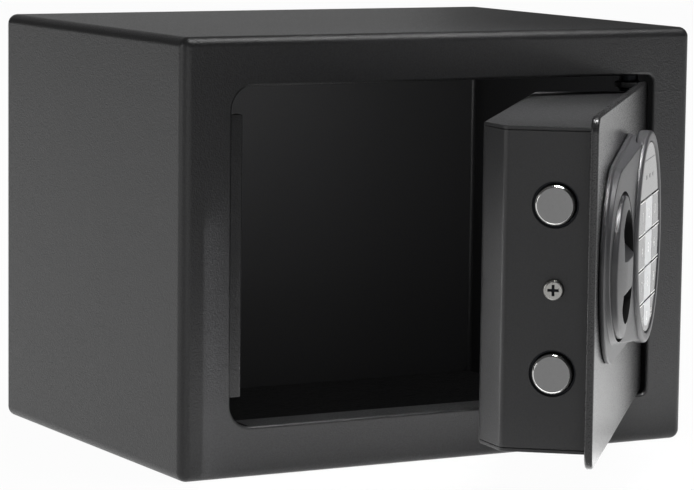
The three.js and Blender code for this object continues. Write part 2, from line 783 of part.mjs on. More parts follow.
function controlBoard() {
  const block = (u, v, width, height, deep) => box(trayX + u - width / 2, trayX + u + width / 2,
    boardY + boardThick / 2, boardY + boardThick + deep, trayZ + v - height / 2, trayZ + v + height / 2);
  const [wide, high] = [trayWidth - boardThick, trayHeight - boardThick];
  return join(
    box(trayX - wide / 2, trayX + wide / 2, boardY, boardY + boardThick, trayZ - high / 2, trayZ + high / 2),
    block(-wide / 4, high / 4, wide / 4, high / 4, boardThick),
    block(wide / 4, high / 4, wide / 3, high / 5, boardThick * 4),
    block(wide / 5, -high / 4, wide / 5, high / 5, boardThick * 2),
    block(-wide / 4, -high / 4, wide / 6, high / 3, boardThick * 3),
  );
}

function keypadCable() {
  const halfWide = cableWidth / 2;
  const padSide = padProud - boardTop - padBoardThick - seat + (cableShift - halfWide) * Math.tan(tilt);
  return box(cableX - halfWide, cableX + halfWide, plateFront - padSide, boardY - seat,
    cableZ - cableThick / 2, cableZ + cableThick / 2);
}

// Moulded battery box with its cells
function batteryBox() {
  const back = boxRear;
  const [halfWide, halfHigh] = [boxWidth / 2, boxHeight / 2];
  const outside = box(boxX - halfWide, boxX + halfWide, back - boxDepth, back, boxZ - halfHigh, boxZ + halfHigh);
  const room = box(boxX - cellRoom / 2, boxX + cellRoom / 2, back - boxDepth + boxWall, back + overrun,
    boxZ - halfHigh + boxWall, boxZ + halfHigh - boxWall);
  return cut(outside, room);
}

const nub = 1;
const nubRadius = 2.6;
function battery(index) {
  const z = boxZ + ((cellCount - 1) / 2 - index) * cellPitch;
  const half = cellLength / 2;
  return turned([
    [0, -half],
    [cellRadius, -half],
    [cellRadius, half - nub],
    [nubRadius, half - nub],
    [nubRadius, half],
    [0, half],
  ], index % 2 ? FREE : HINGE, boxX, cellY, z);
}

function batteryLid() {
  const outline = rounded(boxWidth, boxHeight, lidMargin);
  const grip = rounded(boxWidth / 3, lidMargin, lidMargin / 3);
  const back = coverRear + seat;
  return join(
    upright(outline, boxX, boxZ, back, back + lidThick),
    upright(grip, boxX, boxZ + boxHeight / 2 - 2 * lidMargin, back + lidThick / 2, back + 2 * lidThick),
  );
}

function resetSwitch() {
  const half = resetRadius + 2 * bodySheet;
  const back = coverInside - seat;
  return cut(
    box(resetX - half, resetX + half, back - 2 * half, back, resetZ - half, resetZ + half),
    rod(resetRadius + seat, -half, overrun, IN, resetX, back, resetZ),
  );
}

function resetButton() {
  const half = resetRadius + 2 * bodySheet;
  const deep = coverInside - half + resetTravel;
  return rod(resetRadius, deep, coverRear + resetProud, IN, resetX, 0, resetZ);
}

// Moulded panel base: a skirt, a step and a raised face that climbs towards the keypad
const baseSkirt = 2;
const baseStepRise = 0.4;
const baseFace = 3.6; // at the knob's free side
const baseRise = 0.045; // per length towards the hinge
const baseBevel = 0.7;
const skirtTop = 43; // above the middle of the door
const skirtBottom = 31;
const skirtEnd = 31.5; // below the middle, under the keypad
const skirtInset = 8; // from the plate's free edge
const faceTop = 41.6;
const faceBottom = 23.2;
const faceEnd = 30.6;
const faceInset = 12;
const bowInset = 46; // of the middle of its rounded end
const endReach = 20; // of the outline beyond the keypad's middle

// The base's outline, from its rounded end at the knob to a narrower oval under the keypad
function baseOutline(inset, above, below, end, grow) {
  const oval = (x, low, a) => ({
    x, z: plateMiddle + (above - low) / 2, a: a + grow, b: (above + low) / 2 + grow });
  return band([oval(plateLeft + bowInset, below, bowInset - inset), oval(padX, end, endReach)]);
}

function panelBase() {
  const skirt = baseOutline(skirtInset, skirtTop, skirtBottom, skirtEnd, 0);
  const foot = baseOutline(faceInset, faceTop, faceBottom, faceEnd, baseBevel);
  const lip = baseOutline(faceInset, faceTop, faceBottom, faceEnd, 0);
  const rise = ([x]) => baseFace + Math.max(0, x - plateLeft - faceInset) * baseRise;
  const mound = loft([
    standing(skirt, 0, 0, plateFront - seat),
    standing(skirt, 0, 0, plateFront - baseSkirt),
    standing(foot, 0, 0, plateFront - baseSkirt - baseStepRise),
    lip.map((point) => new THREE.Vector3(point[0], plateFront - rise(point), point[1])),
  ]);
  const { left } = Object.fromEntries(panelScrewPlaces().map((place) => [place.name, place]));
  return cut(
    mound,
    padBody(seat, padProud),
    rod(knobRadius + wellGap, wellFloor, 2 * padProud, OUT, knobX, plateFront, knobZ, ovalSides),
    rod(spindleRadius + play, -overrun, overrun, OUT, knobX, plateFront, knobZ),
    rod(panelScrewRadius + seat, 0, baseFace, OUT, left.x, plateFront, left.z),
  );
}

// Knob with a domed face and two finger hollows, each with a slope up to the bar between them
const knobBack = wellFloor + seat;
const knobFloor = 1.2;
const knobSide = 5.1; // where its side ends, in front of the door plate
const knobDome = [[26.4, 5.5], [22, 7.1], [15, 7.9], [8, 8.2]];
const gripAbove = 3; // from the axis to the upper hollow
const gripBelow = 8;
const gripSlope = 5;
const gripWidth = 31;
const gripRadius = 21;

function knob() {
  const [, top] = knobDome[knobDome.length - 1];
  const disc = turned([[0, knobBack], [knobRadius, knobBack], [knobRadius, knobSide], ...knobDome, [0, top]],
    OUT, knobX, plateFront, knobZ, ovalSides);
  const floor = knobBack + knobFloor;
  const hollow = (sign, start) => {
    const ring = (from, height) => standing(rounded(gripWidth, knobRadius - from, seat), knobX,
      knobZ + sign * (knobRadius + from) / 2, plateFront - height);
    return loft([ring(start + gripSlope, floor), ring(start, top)])
      .intersect(rod(gripRadius, 0, 2 * top, OUT, knobX, plateFront, knobZ, ovalSides));
  };
  return cut(
    disc,
    hollow(1, gripAbove),
    hollow(-1, gripBelow),
    rod(spindleRadius + seat, 0, knobBack + knobFloor / 2, OUT, knobX, plateFront, knobZ),
  );
}

function spindle() {
  return rod(spindleRadius, -knobBack - knobFloor / 2 + seat, spindleEnd, IN, knobX, plateFront, knobZ);
}

// Keypad housing: an oval rim round a well that follows the tilted face
const padEdge = 1;
const padWell = 4.4; // below the rim's plane
const boardTop = 2.8;
const padBoardThick = 1.2;
const keyOval = { x: 0, z: 0, a: padWidth / 2 - padRim, b: padHeight / 2 - padRim };

const padFlare = [[6.5, 0.3], [5.2, 2.2], [3, 3.4], [0.6, 4.5], [0, 5.2]]; // [inset, height] of its sides

// The housing's outside, grown by a clearance and carried on past the rim by a height
function padBody(grow, past) {
  const { x, z, a, b } = padOval;
  const oval = (inset) => band([{ x, z, a: a - inset + grow, b: b - inset + grow }]);
  const tilted = (inset, below) => oval(inset).map(([u, v]) => (
    new THREE.Vector3(u, plateFront - padProud + below - (u - x) * Math.tan(tilt), v)));
  return loft([
    ...padFlare.map(([inset, height]) => standing(oval(inset), 0, 0, plateFront - height + grow)),
    tilted(0, padEdge - past),
    ...(past ? [] : [tilted(padEdge, 0)]),
  ]);
}

function keypadHousing() {
  const well = upright(band([keyOval]), 0, 0, -overrun, padWell)
    .rotate([0, 0, -padTilt])
    .translate([padX, plateFront - padProud, padZ]);
  const { right } = Object.fromEntries(panelScrewPlaces().map((place) => [place.name, place]));
  return cut(
    padBody(0, 0),
    well,
    cableSlot(plateFront - padProud + boardTop, plateFront),
    rod(panelScrewRadius + seat, 0, baseFace, OUT, right.x, plateFront, right.z),
  );
}

function keypadBoard() {
  const { a, b } = keyOval;
  return upright(band([{ x: 0, z: 0, a: a - play, b: b - play }]), 0, 0, boardTop, boardTop + padBoardThick);
}

// Keys and window are cut from one oval sheet, so their outer edges follow the rim
const firstRow = 15.7; // upper edge of the first row, above the keypad's middle
const windowThick = 0.8;
function sheetCell(fromX, toX, fromZ, toZ, top, bottom) {
  const { a, b } = keyOval;
  const sheet = upright(band([{ x: 0, z: 0, a: a - play, b: b - play }]), 0, 0, top, bottom);
  return sheet.intersect(box(fromX, toX, top - overrun, bottom + overrun, fromZ, toZ));
}

function keypadKey(row, column) {
  const wide = padWidth / 2;
  const edges = [-wide, -keyColumn / 2, keyColumn / 2, wide];
  const top = firstRow - row * keyPitch;
  return sheetCell(edges[column] + keyGap / 2, edges[column + 1] - keyGap / 2,
    top - keyPitch + keyGap / 2, top - keyGap / 2, keyTop, keyTop + keyThick);
}

function statusWindow() {
  return sheetCell(-padWidth / 2, padWidth / 2, firstRow + keyGap / 2, padHeight, keyTop, keyTop + windowThick);
}

const ledSpacing = 9;
const ledRadius = 1.5;
const ledLift = 8; // above the first row of keys
function led(index) {
  const head = keyTop + windowThick + seat;
  const foot = boardTop - seat;
  const x = (index - 1) * ledSpacing;
  return turned([
    [0, -foot],
    [ledRadius + seat, -foot],
    [ledRadius + seat, -foot + seat],
    [ledRadius, -foot + seat],
    [ledRadius, -head - seat],
    [ledRadius / 2, -head],
    [0, -head],
  ], OUT, x, 0, firstRow + ledLift, cornerSteps * 3);
}

function panelScrew({ x, z }) {
  const head = doorSheet + seat;
  return turned([
    [0, -baseFace + seat * 2],
    [panelScrewRadius, -baseFace + seat * 2],
    [panelScrewRadius, head],
    [2 * panelScrewRadius, head],
    [2 * panelScrewRadius, head + panelScrewRadius],
    [0, head + panelScrewRadius],
  ], IN, x, plateFront, z, cornerSteps * 3);
}

piece(safe, 'body_shell', bodyShell(), 'bodySteel');
piece(safe, 'rear_panel', rearPanel(), 'bodySteel');
piece(safe, 'strike_bar', strikeBar(), 'bodySteel');
piece(safe, 'floor_mat', floorMat(), 'carpet');
hingeSides.forEach((side) => {
  piece(safe, `hinge_plate_${side.name}`, hingePlate(side), 'bodySteel');
  piece(leaf, `hinge_lug_${side.name}`, hingeLug(side), 'doorSteel');
  piece(leaf, `hinge_pin_${side.name}`, hingePin(side), 'bareSteel');
});
piece(leaf, 'door_plate', doorPlate(), 'doorSteel');
piece(leaf, 'mechanism_cover', mechanismCover(), 'coverSteel');
piece(leaf, 'cover_screw_side', screw(FREE, coverLeft, boltY, boltMiddle), 'platedSteel');
['upper', 'lower'].forEach((name, i) => {
  piece(leaf, `cover_screw_${name}`, screw(IN, coverScrewX, coverRear, coverScrewHeights[i]), 'platedSteel');
  piece(leaf, `bolt_${name}`, bolt(boltHeights[i]), 'platedSteel');
  piece(leaf, `guide_screw_${name}`, guideScrew(boltHeights[i]), 'bareSteel');
});
piece(leaf, 'bolt_bracket', boltBracket(), 'bareSteel');
piece(leaf, 'bolt_carrier', boltCarrier(), 'bareSteel');
piece(leaf, 'cam', cam(), 'bareSteel');
piece(leaf, 'spindle', spindle(), 'bareSteel');
piece(leaf, 'knob', knob(), 'darkPlastic');
piece(leaf, 'panel_base', panelBase(), 'darkPlastic');
piece(leaf, 'keypad_housing', keypadHousing(), 'darkPlastic');
panelScrewPlaces().forEach((place) => {
  piece(leaf, `panel_screw_${place.name}`, panelScrew(place), 'platedSteel');
});
piece(leaf, 'solenoid_frame', solenoidFrame(), 'bareSteel');
piece(leaf, 'solenoid_coil', solenoidCoil(), 'copper');
piece(leaf, 'solenoid_plunger', solenoidPlunger(), 'platedSteel');
piece(leaf, 'solenoid_spring', solenoidSpring(), 'bareSteel');
piece(leaf, 'board_tray', boardTray(), 'blackPlastic');
piece(leaf, 'control_board', controlBoard(), 'boardGreen');
piece(leaf, 'keypad_cable', keypadCable(), 'ribbonGrey');
piece(leaf, 'battery_box', batteryBox(), 'blackPlastic');
for (let i = 0; i < cellCount; i += 1) piece(leaf, `battery_${i + 1}`, battery(i), 'batteryWrap');
piece(leaf, 'battery_lid', batteryLid(), 'blackPlastic');
piece(leaf, 'reset_switch', resetSwitch(), 'blackPlastic');
piece(leaf, 'reset_button', resetButton(), 'redPlastic');
piece(face, 'keypad_board', keypadBoard(), 'boardGreen');
piece(face, 'status_window', statusWindow(), 'windowDark');
['ledRed', 'ledGreen', 'ledAmber'].forEach((finish, i) => {
  piece(face, `led_${finish.slice(3).toLowerCase()}`, led(i), finish);
});
const keyNames = ['1', '2', '3', '4', '5', '6', '7', '8', '9', 'star', '0', 'hash'];
keyNames.forEach((name, i) => {
  const column = i % 3;
  piece(face, `key_${name}`, keypadKey((i - column) / 3, column), column === 1 ? 'keyLight' : 'keyDark');
});

export default safe;
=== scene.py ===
import math

import bmesh
import bpy
from mathutils import Matrix, Vector, noise


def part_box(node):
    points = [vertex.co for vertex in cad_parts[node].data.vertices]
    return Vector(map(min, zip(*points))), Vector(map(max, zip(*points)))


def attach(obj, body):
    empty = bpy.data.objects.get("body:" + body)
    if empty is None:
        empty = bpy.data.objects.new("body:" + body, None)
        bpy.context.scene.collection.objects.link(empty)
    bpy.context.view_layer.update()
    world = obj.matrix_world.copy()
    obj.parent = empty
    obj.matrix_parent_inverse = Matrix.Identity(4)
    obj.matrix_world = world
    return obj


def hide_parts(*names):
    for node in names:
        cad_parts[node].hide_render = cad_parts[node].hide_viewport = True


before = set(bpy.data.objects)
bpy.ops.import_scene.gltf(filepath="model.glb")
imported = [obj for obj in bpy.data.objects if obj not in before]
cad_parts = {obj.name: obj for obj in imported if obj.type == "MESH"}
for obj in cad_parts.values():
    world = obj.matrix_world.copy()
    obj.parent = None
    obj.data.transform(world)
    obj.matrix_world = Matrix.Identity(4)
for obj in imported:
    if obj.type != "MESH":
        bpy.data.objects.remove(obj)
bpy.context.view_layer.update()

# Camera, lamps and floor. A long lens looks at the safe from the left, a little from above. The safe
# stands on white paper. Soft lamps hang round it, and small ones lie low, in the mouth and by the cover.
MM = 0.001
FRAME_WIDTH, SENSOR = 694, 36.0
FOCAL_PIXELS = 3331.1
CAMERA_PLACE = Vector((-0.6615, -1.2068, 0.2460))
YAW, PITCH, ROLL = 0.5032, 0.1225, 0.0122


def only(piece=None):
    """Leaves one piece selected and active, or none."""
    if bpy.context.mode != "OBJECT":
        bpy.ops.object.mode_set(mode="OBJECT")
    bpy.ops.object.select_all(action="DESELECT")
    if piece:
        bpy.context.view_layer.objects.active = piece
        piece.select_set(True)


def named(name):
    """The object that an operator has just added, under its own name and with its place in its mesh."""
    piece = bpy.context.object
    bpy.ops.object.transform_apply(location=True, rotation=True, scale=True)
    piece.name = piece.data.name = name
    return piece


def linear(colour):
    """An sRGB hex colour as the linear numbers that a shader takes."""
    parts = [int(colour[i:i + 2], 16) / 255 for i in (1, 3, 5)]
    return [p / 12.92 if p <= 0.04045 else ((p + 0.055) / 1.055) ** 2.4 for p in parts] + [1.0]


def add(tree, kind, inputs={}, **settings):
    """Adds a shader node with its settings, and sets or links its inputs."""
    node = tree.nodes.new("ShaderNode" + kind)
    for name, value in settings.items():
        setattr(node, name, value)
    for name, value in inputs.items():
        if isinstance(value, bpy.types.NodeSocket):
            tree.links.new(value, node.inputs[name])
        else:
            node.inputs[name].default_value = value
    return node


ahead = Vector((math.sin(YAW) * math.cos(PITCH), math.cos(YAW) * math.cos(PITCH), -math.sin(PITCH)))
level = Vector((math.cos(YAW), -math.sin(YAW), 0))
above = level.cross(ahead)
right = level * math.cos(ROLL) + above * math.sin(ROLL)
upward = above * math.cos(ROLL) - level * math.sin(ROLL)
only()
bpy.ops.object.camera_add()
camera = bpy.context.object
camera.matrix_world = Matrix.Translation(CAMERA_PLACE) @ Matrix((right, upward, -ahead)).transposed().to_4x4()
camera.data.sensor_width = SENSOR
camera.data.lens = FOCAL_PIXELS * SENSOR / FRAME_WIDTH
bpy.context.scene.camera = camera
bpy.context.scene.view_settings.view_transform = "Standard"


FLOOR_SHARE = 0.97  # of what camera, gloss and glass see of it is plain white, and the rest is lit paper
WHITE = [1.0, 1.0, 1.0, 1.0]
AMBIENT = 0.08  # strength of the world, which is the grey above the floor's far edge
world = bpy.context.scene.world or bpy.data.worlds.new("backdrop")
bpy.context.scene.world = world
world.use_nodes = True
sky = world.node_tree
sky.nodes.clear()
studio = add(sky, "Background", {"Color": WHITE, "Strength": AMBIENT})
add(sky, "OutputWorld", {"Surface": studio.outputs[0]})

FLOOR_SIZE = 16
only()
bpy.ops.mesh.primitive_plane_add(size=FLOOR_SIZE, location=(0, 0, -0.0002))
floor = named("studio_floor")
# Matt paper: even white all over, which metal and glass mirror, with the safe's shadow on it.
paper = bpy.data.materials.new("white_paper")
paper.use_nodes = True
tree = paper.node_tree
tree.nodes.clear()
path = add(tree, "LightPath")
bounced = add(tree, "Math", {0: path.outputs["Is Glossy Ray"], 1: path.outputs["Is Transmission Ray"]},
              operation="MAXIMUM")
glowing = add(tree, "Math", {0: path.outputs["Is Camera Ray"], 1: bounced.outputs[0]}, operation="MAXIMUM")
share = add(tree, "Math", {0: glowing.outputs[0], 1: FLOOR_SHARE}, operation="MULTIPLY")
matt = add(tree, "BsdfDiffuse", {"Color": linear("#f2f2f2")})
glow = add(tree, "Emission", {"Color": WHITE, "Strength": 1.0})
surface = add(tree, "MixShader", {0: share.outputs[0], 1: matt.outputs[0], 2: glow.outputs[0]})
add(tree, "OutputMaterial", {"Surface": surface.outputs[0]})
floor.data.materials.append(paper)

LAMPS = [  # place, what it points at, width and depth in metres, watts, spread of its beam in degrees
    ((0.5, -0.45, 1.8), (0, 0, 0.1), (0.9, 0.9), 20, 180),  # the main one, overhead
    ((0.5, 1.9, 0.5), (0, 0, 0.17), (1.2, 0.8), 1.1, 180),  # behind, mirrored in the top
    ((-2.5, 0.3, 0.6), (0, 0, 0.1), (1.0, 0.8), 10, 180),  # on the left
    ((-0.5, -1.9, 0.2), (0, 0, 0.1), (0.5, 0.3), 1.2, 180),  # low in front
    ((-0.8, -1.3, 0.2), (0, 0, 0.1), (0.3, 0.3), 0.8, 180),  # low in front, further left
    ((-0.01, -0.07, 0.155), (-0.01, 0.08, 0.085), (0.14, 0.015), 0.1, 180),  # inside, behind the lintel
    ((-0.112, -0.095, 0.05), (-0.06, -0.125, 0.05), (0.02, 0.1), 0.046, 180),  # towards the cover
    ((0.0, -0.2, 0.6), (0.01, -0.15, 0.143), (0.1, 0.1), 0.12, 25),  # a narrow beam on the cover's top
    ((0.34, -0.42, 0.0), (0.34, -0.42, 1), (0.3, 0.4), 0.9, 180),  # on the floor before the door
    ((0.22, -0.02, 0.0), (0.22, -0.02, 1), (0.16, 0.2), 0.06, 180),  # on the floor at the right
    ((0.06, -0.17, 0.0), (0.06, -0.17, 1), (0.28, 0.1), 0.15, 180),  # on the floor under the door
]
for place, target, (wide, deep), watts, spread in LAMPS:
    only()
    bpy.ops.object.light_add(type="AREA", location=place)
    lamp = bpy.context.object
    lamp.data.shape = "RECTANGLE"
    lamp.data.size, lamp.data.size_y = wide, deep
    lamp.data.energy = watts
    lamp.data.spread = math.radians(spread)
    lamp.visible_camera = False
    lamp.rotation_euler = (Vector(target) - Vector(place)).to_track_quat("-Z", "Y").to_euler()

# Painted steel body. Thin sheet folded to a box with round edges, a mouth with a turned-in lip,
# a window behind for the welded back, and holes for hinge pins and floor bolts. Powder coated.
BODY = (230, 170, 170)
SHEET = 1.5
FOLD = 4
MOUTH = (-94, 97, 20, 151)  # left, right, bottom, top
MOUTH_CORNER, MOUTH_HINGE_CORNER = 9, 3
LIP = 1.2
FLANGE_START, FLANGE_DEPTH = 1.2, 15
REAR_LIP = 10
PIVOT = (90.5, -76.5)
PIN_HOLE, FLOOR_HOLE, FLOOR_HOLE_SPAN = 2.9, 5, 120
KINDS = {"VERT": "verts", "EDGE": "edges", "FACE": "faces"}
CUT = 8  # how far a cutter runs past what it cuts


def pick(piece, kind, test):
    """Opens a piece in edit mode with only the parts selected that pass a test."""
    only(piece)
    bpy.ops.object.mode_set(mode="EDIT")
    bpy.ops.mesh.select_mode(type=kind)
    bpy.ops.mesh.select_all(action="DESELECT")
    shape = bmesh.from_edit_mesh(piece.data)
    shape.select_mode = {kind}
    for part in getattr(shape, KINDS[kind]):
        part.select = bool(test(part))
    shape.select_flush_mode()
    bmesh.update_edit_mesh(piece.data)


def middle(part):
    """The middle of an edge or face in millimetres."""
    if isinstance(part, bmesh.types.BMFace):
        return part.calc_center_median() / MM
    return (part.verts[0].co + part.verts[1].co) / 2 / MM


def along(part, axis):
    """Whether an edge runs along an axis."""
    run = (part.verts[1].co - part.verts[0].co).normalized()
    return abs(run[axis]) > 0.999


def soften(piece, test, width, segments=6):
    """Bevels the edges that pass a test."""
    pick(piece, "EDGE", test)
    bpy.ops.mesh.bevel(offset=width * MM, segments=segments, profile=0.5)
    bpy.ops.object.mode_set(mode="OBJECT")


def apply(piece, kind, **settings):
    """Adds a modifier and applies it."""
    only(piece)
    modifier = piece.modifiers.new(kind.lower(), kind)
    for name, value in settings.items():
        setattr(modifier, name, value)
    bpy.ops.object.modifier_apply(modifier=modifier.name)


def carve(piece, *tools, operation="DIFFERENCE"):
    """Cuts other solids out of a piece, or joins them to it."""
    for tool in tools:
        apply(piece, "BOOLEAN", operation=operation, object=tool, solver="EXACT")
        bpy.data.objects.remove(tool)


def block(name, low, high):
    """A block between two corners."""
    only()
    bpy.ops.mesh.primitive_cube_add(size=MM, location=[(a + b) / 2 * MM for a, b in zip(low, high)])
    bpy.context.object.scale = [b - a for a, b in zip(low, high)]
    return named(name)


LYING = {0: (0, math.pi / 2, 0), 1: (math.pi / 2, 0, 0), 2: (0, 0, 0)}


def rod(name, radius, axis, centre, low, high, sides=96):
    """A round bar along an axis, from low to high on it, through a centre."""
    place = list(centre)
    place[axis] = (low + high) / 2
    only()
    bpy.ops.mesh.primitive_cylinder_add(vertices=sides, radius=radius * MM, depth=(high - low) * MM,
                                        location=[p * MM for p in place], rotation=LYING[axis])
    return named(name)


def crisp(piece, edge=0.0, segments=2, angle=40):
    """Rounds the edges that are left sharp, and smooths the shading without bending the flats."""
    if edge:
        apply(piece, "BEVEL", width=edge * MM, segments=segments, limit_method="ANGLE",
              angle_limit=math.radians(angle), harden_normals=False)
    only(piece)
    bpy.ops.object.shade_smooth_by_angle(angle=math.radians(angle))
    apply(piece, "WEIGHTED_NORMAL", keep_sharp=True)


def shader(name, **inputs):
    """A new material with one shader, and Object coordinates for its patterns."""
    material = bpy.data.materials.new(name)
    material.use_nodes = True
    tree = material.node_tree
    tree.nodes.clear()
    surface = add(tree, "BsdfPrincipled", {k.replace("_", " "): v for k, v in inputs.items()})
    add(tree, "OutputMaterial", {"Surface": surface.outputs[0]})
    return material, tree, surface, add(tree, "TexCoord").outputs["Object"]


def mottle(tree, surface, place, size, colours, roughness, height, detail=3.0):
    """Colour, gloss and relief that vary over a surface with a grain of a size in millimetres."""
    grain = add(tree, "TexNoise", {"Vector": place, "Scale": 1 / (size * MM), "Detail": detail})
    tone = add(tree, "Mix", {0: grain.outputs[0], 6: linear(colours[0]), 7: linear(colours[1])},
               data_type="RGBA")
    tree.links.new(tone.outputs[2], surface.inputs["Base Color"])
    gloss = add(tree, "MapRange", {"Value": grain.outputs[0], "From Min": 0.3, "From Max": 0.7,
                                   "To Min": roughness[0], "To Max": roughness[1]})
    tree.links.new(gloss.outputs[0], surface.inputs["Roughness"])
    bump = add(tree, "Bump", {"Height": grain.outputs[0], "Distance": height * MM, "Strength": 1.0})
    tree.links.new(bump.outputs[0], surface.inputs["Normal"])
    return grain


def powder_coat(name, colour, speck, grit, height, gloss=(0.3, 0.42), ior=1.42):
    """Epoxy-polyester powder, baked on: a fine pebbled skin that spreads its sheen, with paler specks."""
    material, tree, surface, place = shader(name, IOR=ior)
    mottle(tree, surface, place, grit, (colour, speck), gloss, height, detail=2.0)
    return material


def dress(piece, material, body):
    """Gives a piece its first material and the body it moves with."""
    piece.data.materials.clear()
    piece.data.materials.append(material)
    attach(piece, body)
    return piece


def rounded_box(name, low, high, radius, segments):
    """A block with all its edges rounded."""
    piece = block(name, low, high)
    soften(piece, lambda edge: True, radius, segments)
    return piece


width, depth, height = BODY
left_mouth, right_mouth, sill, lintel = MOUTH
shell = rounded_box("painted_shell", (-width / 2, -depth / 2, 0), (width / 2, depth / 2, height), FOLD, 8)
room = rounded_box("room", (SHEET - width / 2, SHEET - depth / 2, SHEET),
                   (width / 2 - SHEET, depth / 2 - SHEET, height - SHEET), FOLD - SHEET, 6)
carve(shell, room)
for low, high in ((lintel, lintel + SHEET), (sill - SHEET, sill)):
    flange = block("flange", (left_mouth + MOUTH_CORNER, FLANGE_START - depth / 2, low),
                   (right_mouth - SHEET, FLANGE_DEPTH - depth / 2, high))
    carve(shell, flange, operation="UNION")
mouth = block("mouth", (left_mouth, -depth / 2 - CUT, sill), (right_mouth, -depth / 2 + SHEET + 1, lintel))
soften(mouth, lambda edge: along(edge, 1) and middle(edge).x < 0, MOUTH_CORNER, 12)
soften(mouth, lambda edge: along(edge, 1) and middle(edge).x > right_mouth - 1, MOUTH_HINGE_CORNER, 8)
window = block("window", (REAR_LIP - width / 2, depth / 2 - CUT, REAR_LIP),
               (width / 2 - REAR_LIP, depth / 2 + CUT, height - REAR_LIP))
soften(window, lambda edge: along(edge, 1), FOLD, 8)
pins = [rod("pin_hole", PIN_HOLE, 2, (*PIVOT, 0), z - CUT, z + CUT, 48) for z in (sill, lintel)]
bores = [rod("bore", FLOOR_HOLE, 2, (side * FLOOR_HOLE_SPAN / 2, 0, 0), -CUT, CUT, 64) for side in (-1, 1)]
carve(shell, mouth, window, *pins, *bores)
soften(shell, lambda edge: abs(middle(edge).y + depth / 2) < 0.01
       and left_mouth - 1 < middle(edge).x < right_mouth + 1
       and sill - 1 < middle(edge).z < lintel + 1 and len(edge.link_faces) == 2
       and edge.calc_face_angle(0) > 1, LIP, 5)
crisp(shell, 0.25)
BODY_COAT = powder_coat("textured_powder_coat", "#111112", "#323233", 0.6, 0.14)
dress(shell, BODY_COAT, "safe")
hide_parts("body_shell")


def rounded_copy(node, name, edge, material, body, segments=2):
    """A CAD solid's own shape as one merged mesh with its edges rounded, in the solid's place."""
    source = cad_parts[node]
    piece = bpy.data.objects.new(name, source.data.copy())
    bpy.context.scene.collection.objects.link(piece)
    piece.data.name = name
    pick(piece, "VERT", lambda vert: True)
    bpy.ops.mesh.remove_doubles(threshold=0.002 * MM)
    bpy.ops.mesh.dissolve_limited(angle_limit=math.radians(0.5))
    bpy.ops.object.mode_set(mode="OBJECT")
    crisp(piece, edge, segments)
    dress(piece, material, body)
    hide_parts(node)
    return piece


# Back panel and strike bar. The back is a flat sheet welded inside the rear lip, and the strike bar
# is folded from thicker strip and welded behind the front, where the bolts hook. Both are painted.
# A thinner coat inside: duller, and a little paler as painted light that lifts the dim inside of the box.
INNER_COAT_PAINTED_LIGHT = powder_coat("inner_powder_coat_painted_light", "#262627", "#363637", 0.6, 0.07, (0.5, 0.6))
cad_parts["rear_panel"].data.materials.clear()
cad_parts["rear_panel"].data.materials.append(INNER_COAT_PAINTED_LIGHT)
rounded_copy("strike_bar", "folded_strike_bar", 0.5, BODY_COAT, "safe", 3)

# Floor mat. Black needle-felt carpet, cut to the floor and stuck down. Short stiff fibres stand up
# unevenly, so its face is rough and a few paler fibres catch the light.
MAT_LOW, MAT_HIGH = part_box("floor_mat")
MAT_CELLS = (208, 148)
PILE, TUFT, PATCH = 0.9, 1.7, 9  # how uneven its face is, and how wide its small and broad dips are
only()
bpy.ops.mesh.primitive_grid_add(x_subdivisions=MAT_CELLS[0], y_subdivisions=MAT_CELLS[1], size=1)
mat = bpy.context.object
mat.scale = (MAT_HIGH.x - MAT_LOW.x, MAT_HIGH.y - MAT_LOW.y, 1)
mat.location = ((MAT_LOW.x + MAT_HIGH.x) / 2, (MAT_LOW.y + MAT_HIGH.y) / 2, MAT_HIGH.z)
mat = named("carpet_mat")
apply(mat, "SOLIDIFY", thickness=MAT_HIGH.z - MAT_LOW.z, offset=-1)
pick(mat, "VERT", lambda vert: vert.co.z > MAT_HIGH.z - 0.0001)
for vert in bmesh.from_edit_mesh(mat.data).verts:
    if vert.select:
        fine = noise.noise(vert.co / (TUFT * MM))
        broad = noise.noise(vert.co / (PATCH * MM))
        vert.co.z -= PILE * MM * (0.5 + 0.35 * fine + 0.15 * broad)
bmesh.update_edit_mesh(mat.data)
only(mat)
bpy.ops.object.shade_smooth_by_angle(angle=math.radians(60))
material, tree, surface, place = shader("needle_felt_carpet", Sheen_Weight=0.05, Sheen_Roughness=0.5, IOR=1.3)
mottle(tree, surface, place, 0.7, ("#040404", "#101011"), (0.9, 1.0), 0.35, detail=6.0)
dress(mat, material, "safe")
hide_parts("floor_mat")

# Hinges. Two blackened steel pins stand in the door's lugs and turn in plates welded behind the front.
# Lugs are painted with the door, and plates with the body.
OPEN_ANGLE = 50.9
hinge = Vector((PIVOT[0] * MM, PIVOT[1] * MM, 0))
SWING = (Matrix.Translation(hinge) @ Matrix.Rotation(math.radians(OPEN_ANGLE), 4, "Z")
         @ Matrix.Translation(-hinge))


def swing(piece):
    """Turns a piece that was made on the shut door to where the open door holds it."""
    only(piece)
    piece.matrix_world = SWING
    bpy.ops.object.transform_apply(location=True, rotation=True, scale=True)
    return piece


def metal(name, colours, roughness, size, height, stretch=(1, 1, 1)):
    """Bare or plated steel: full reflection, with gloss that varies as the surface was worked."""
    material, tree, surface, place = shader(name, Metallic=1.0)
    turned = add(tree, "Mapping", {"Vector": place, "Scale": stretch})
    mottle(tree, surface, turned.outputs[0], size, colours, roughness, height)
    return material


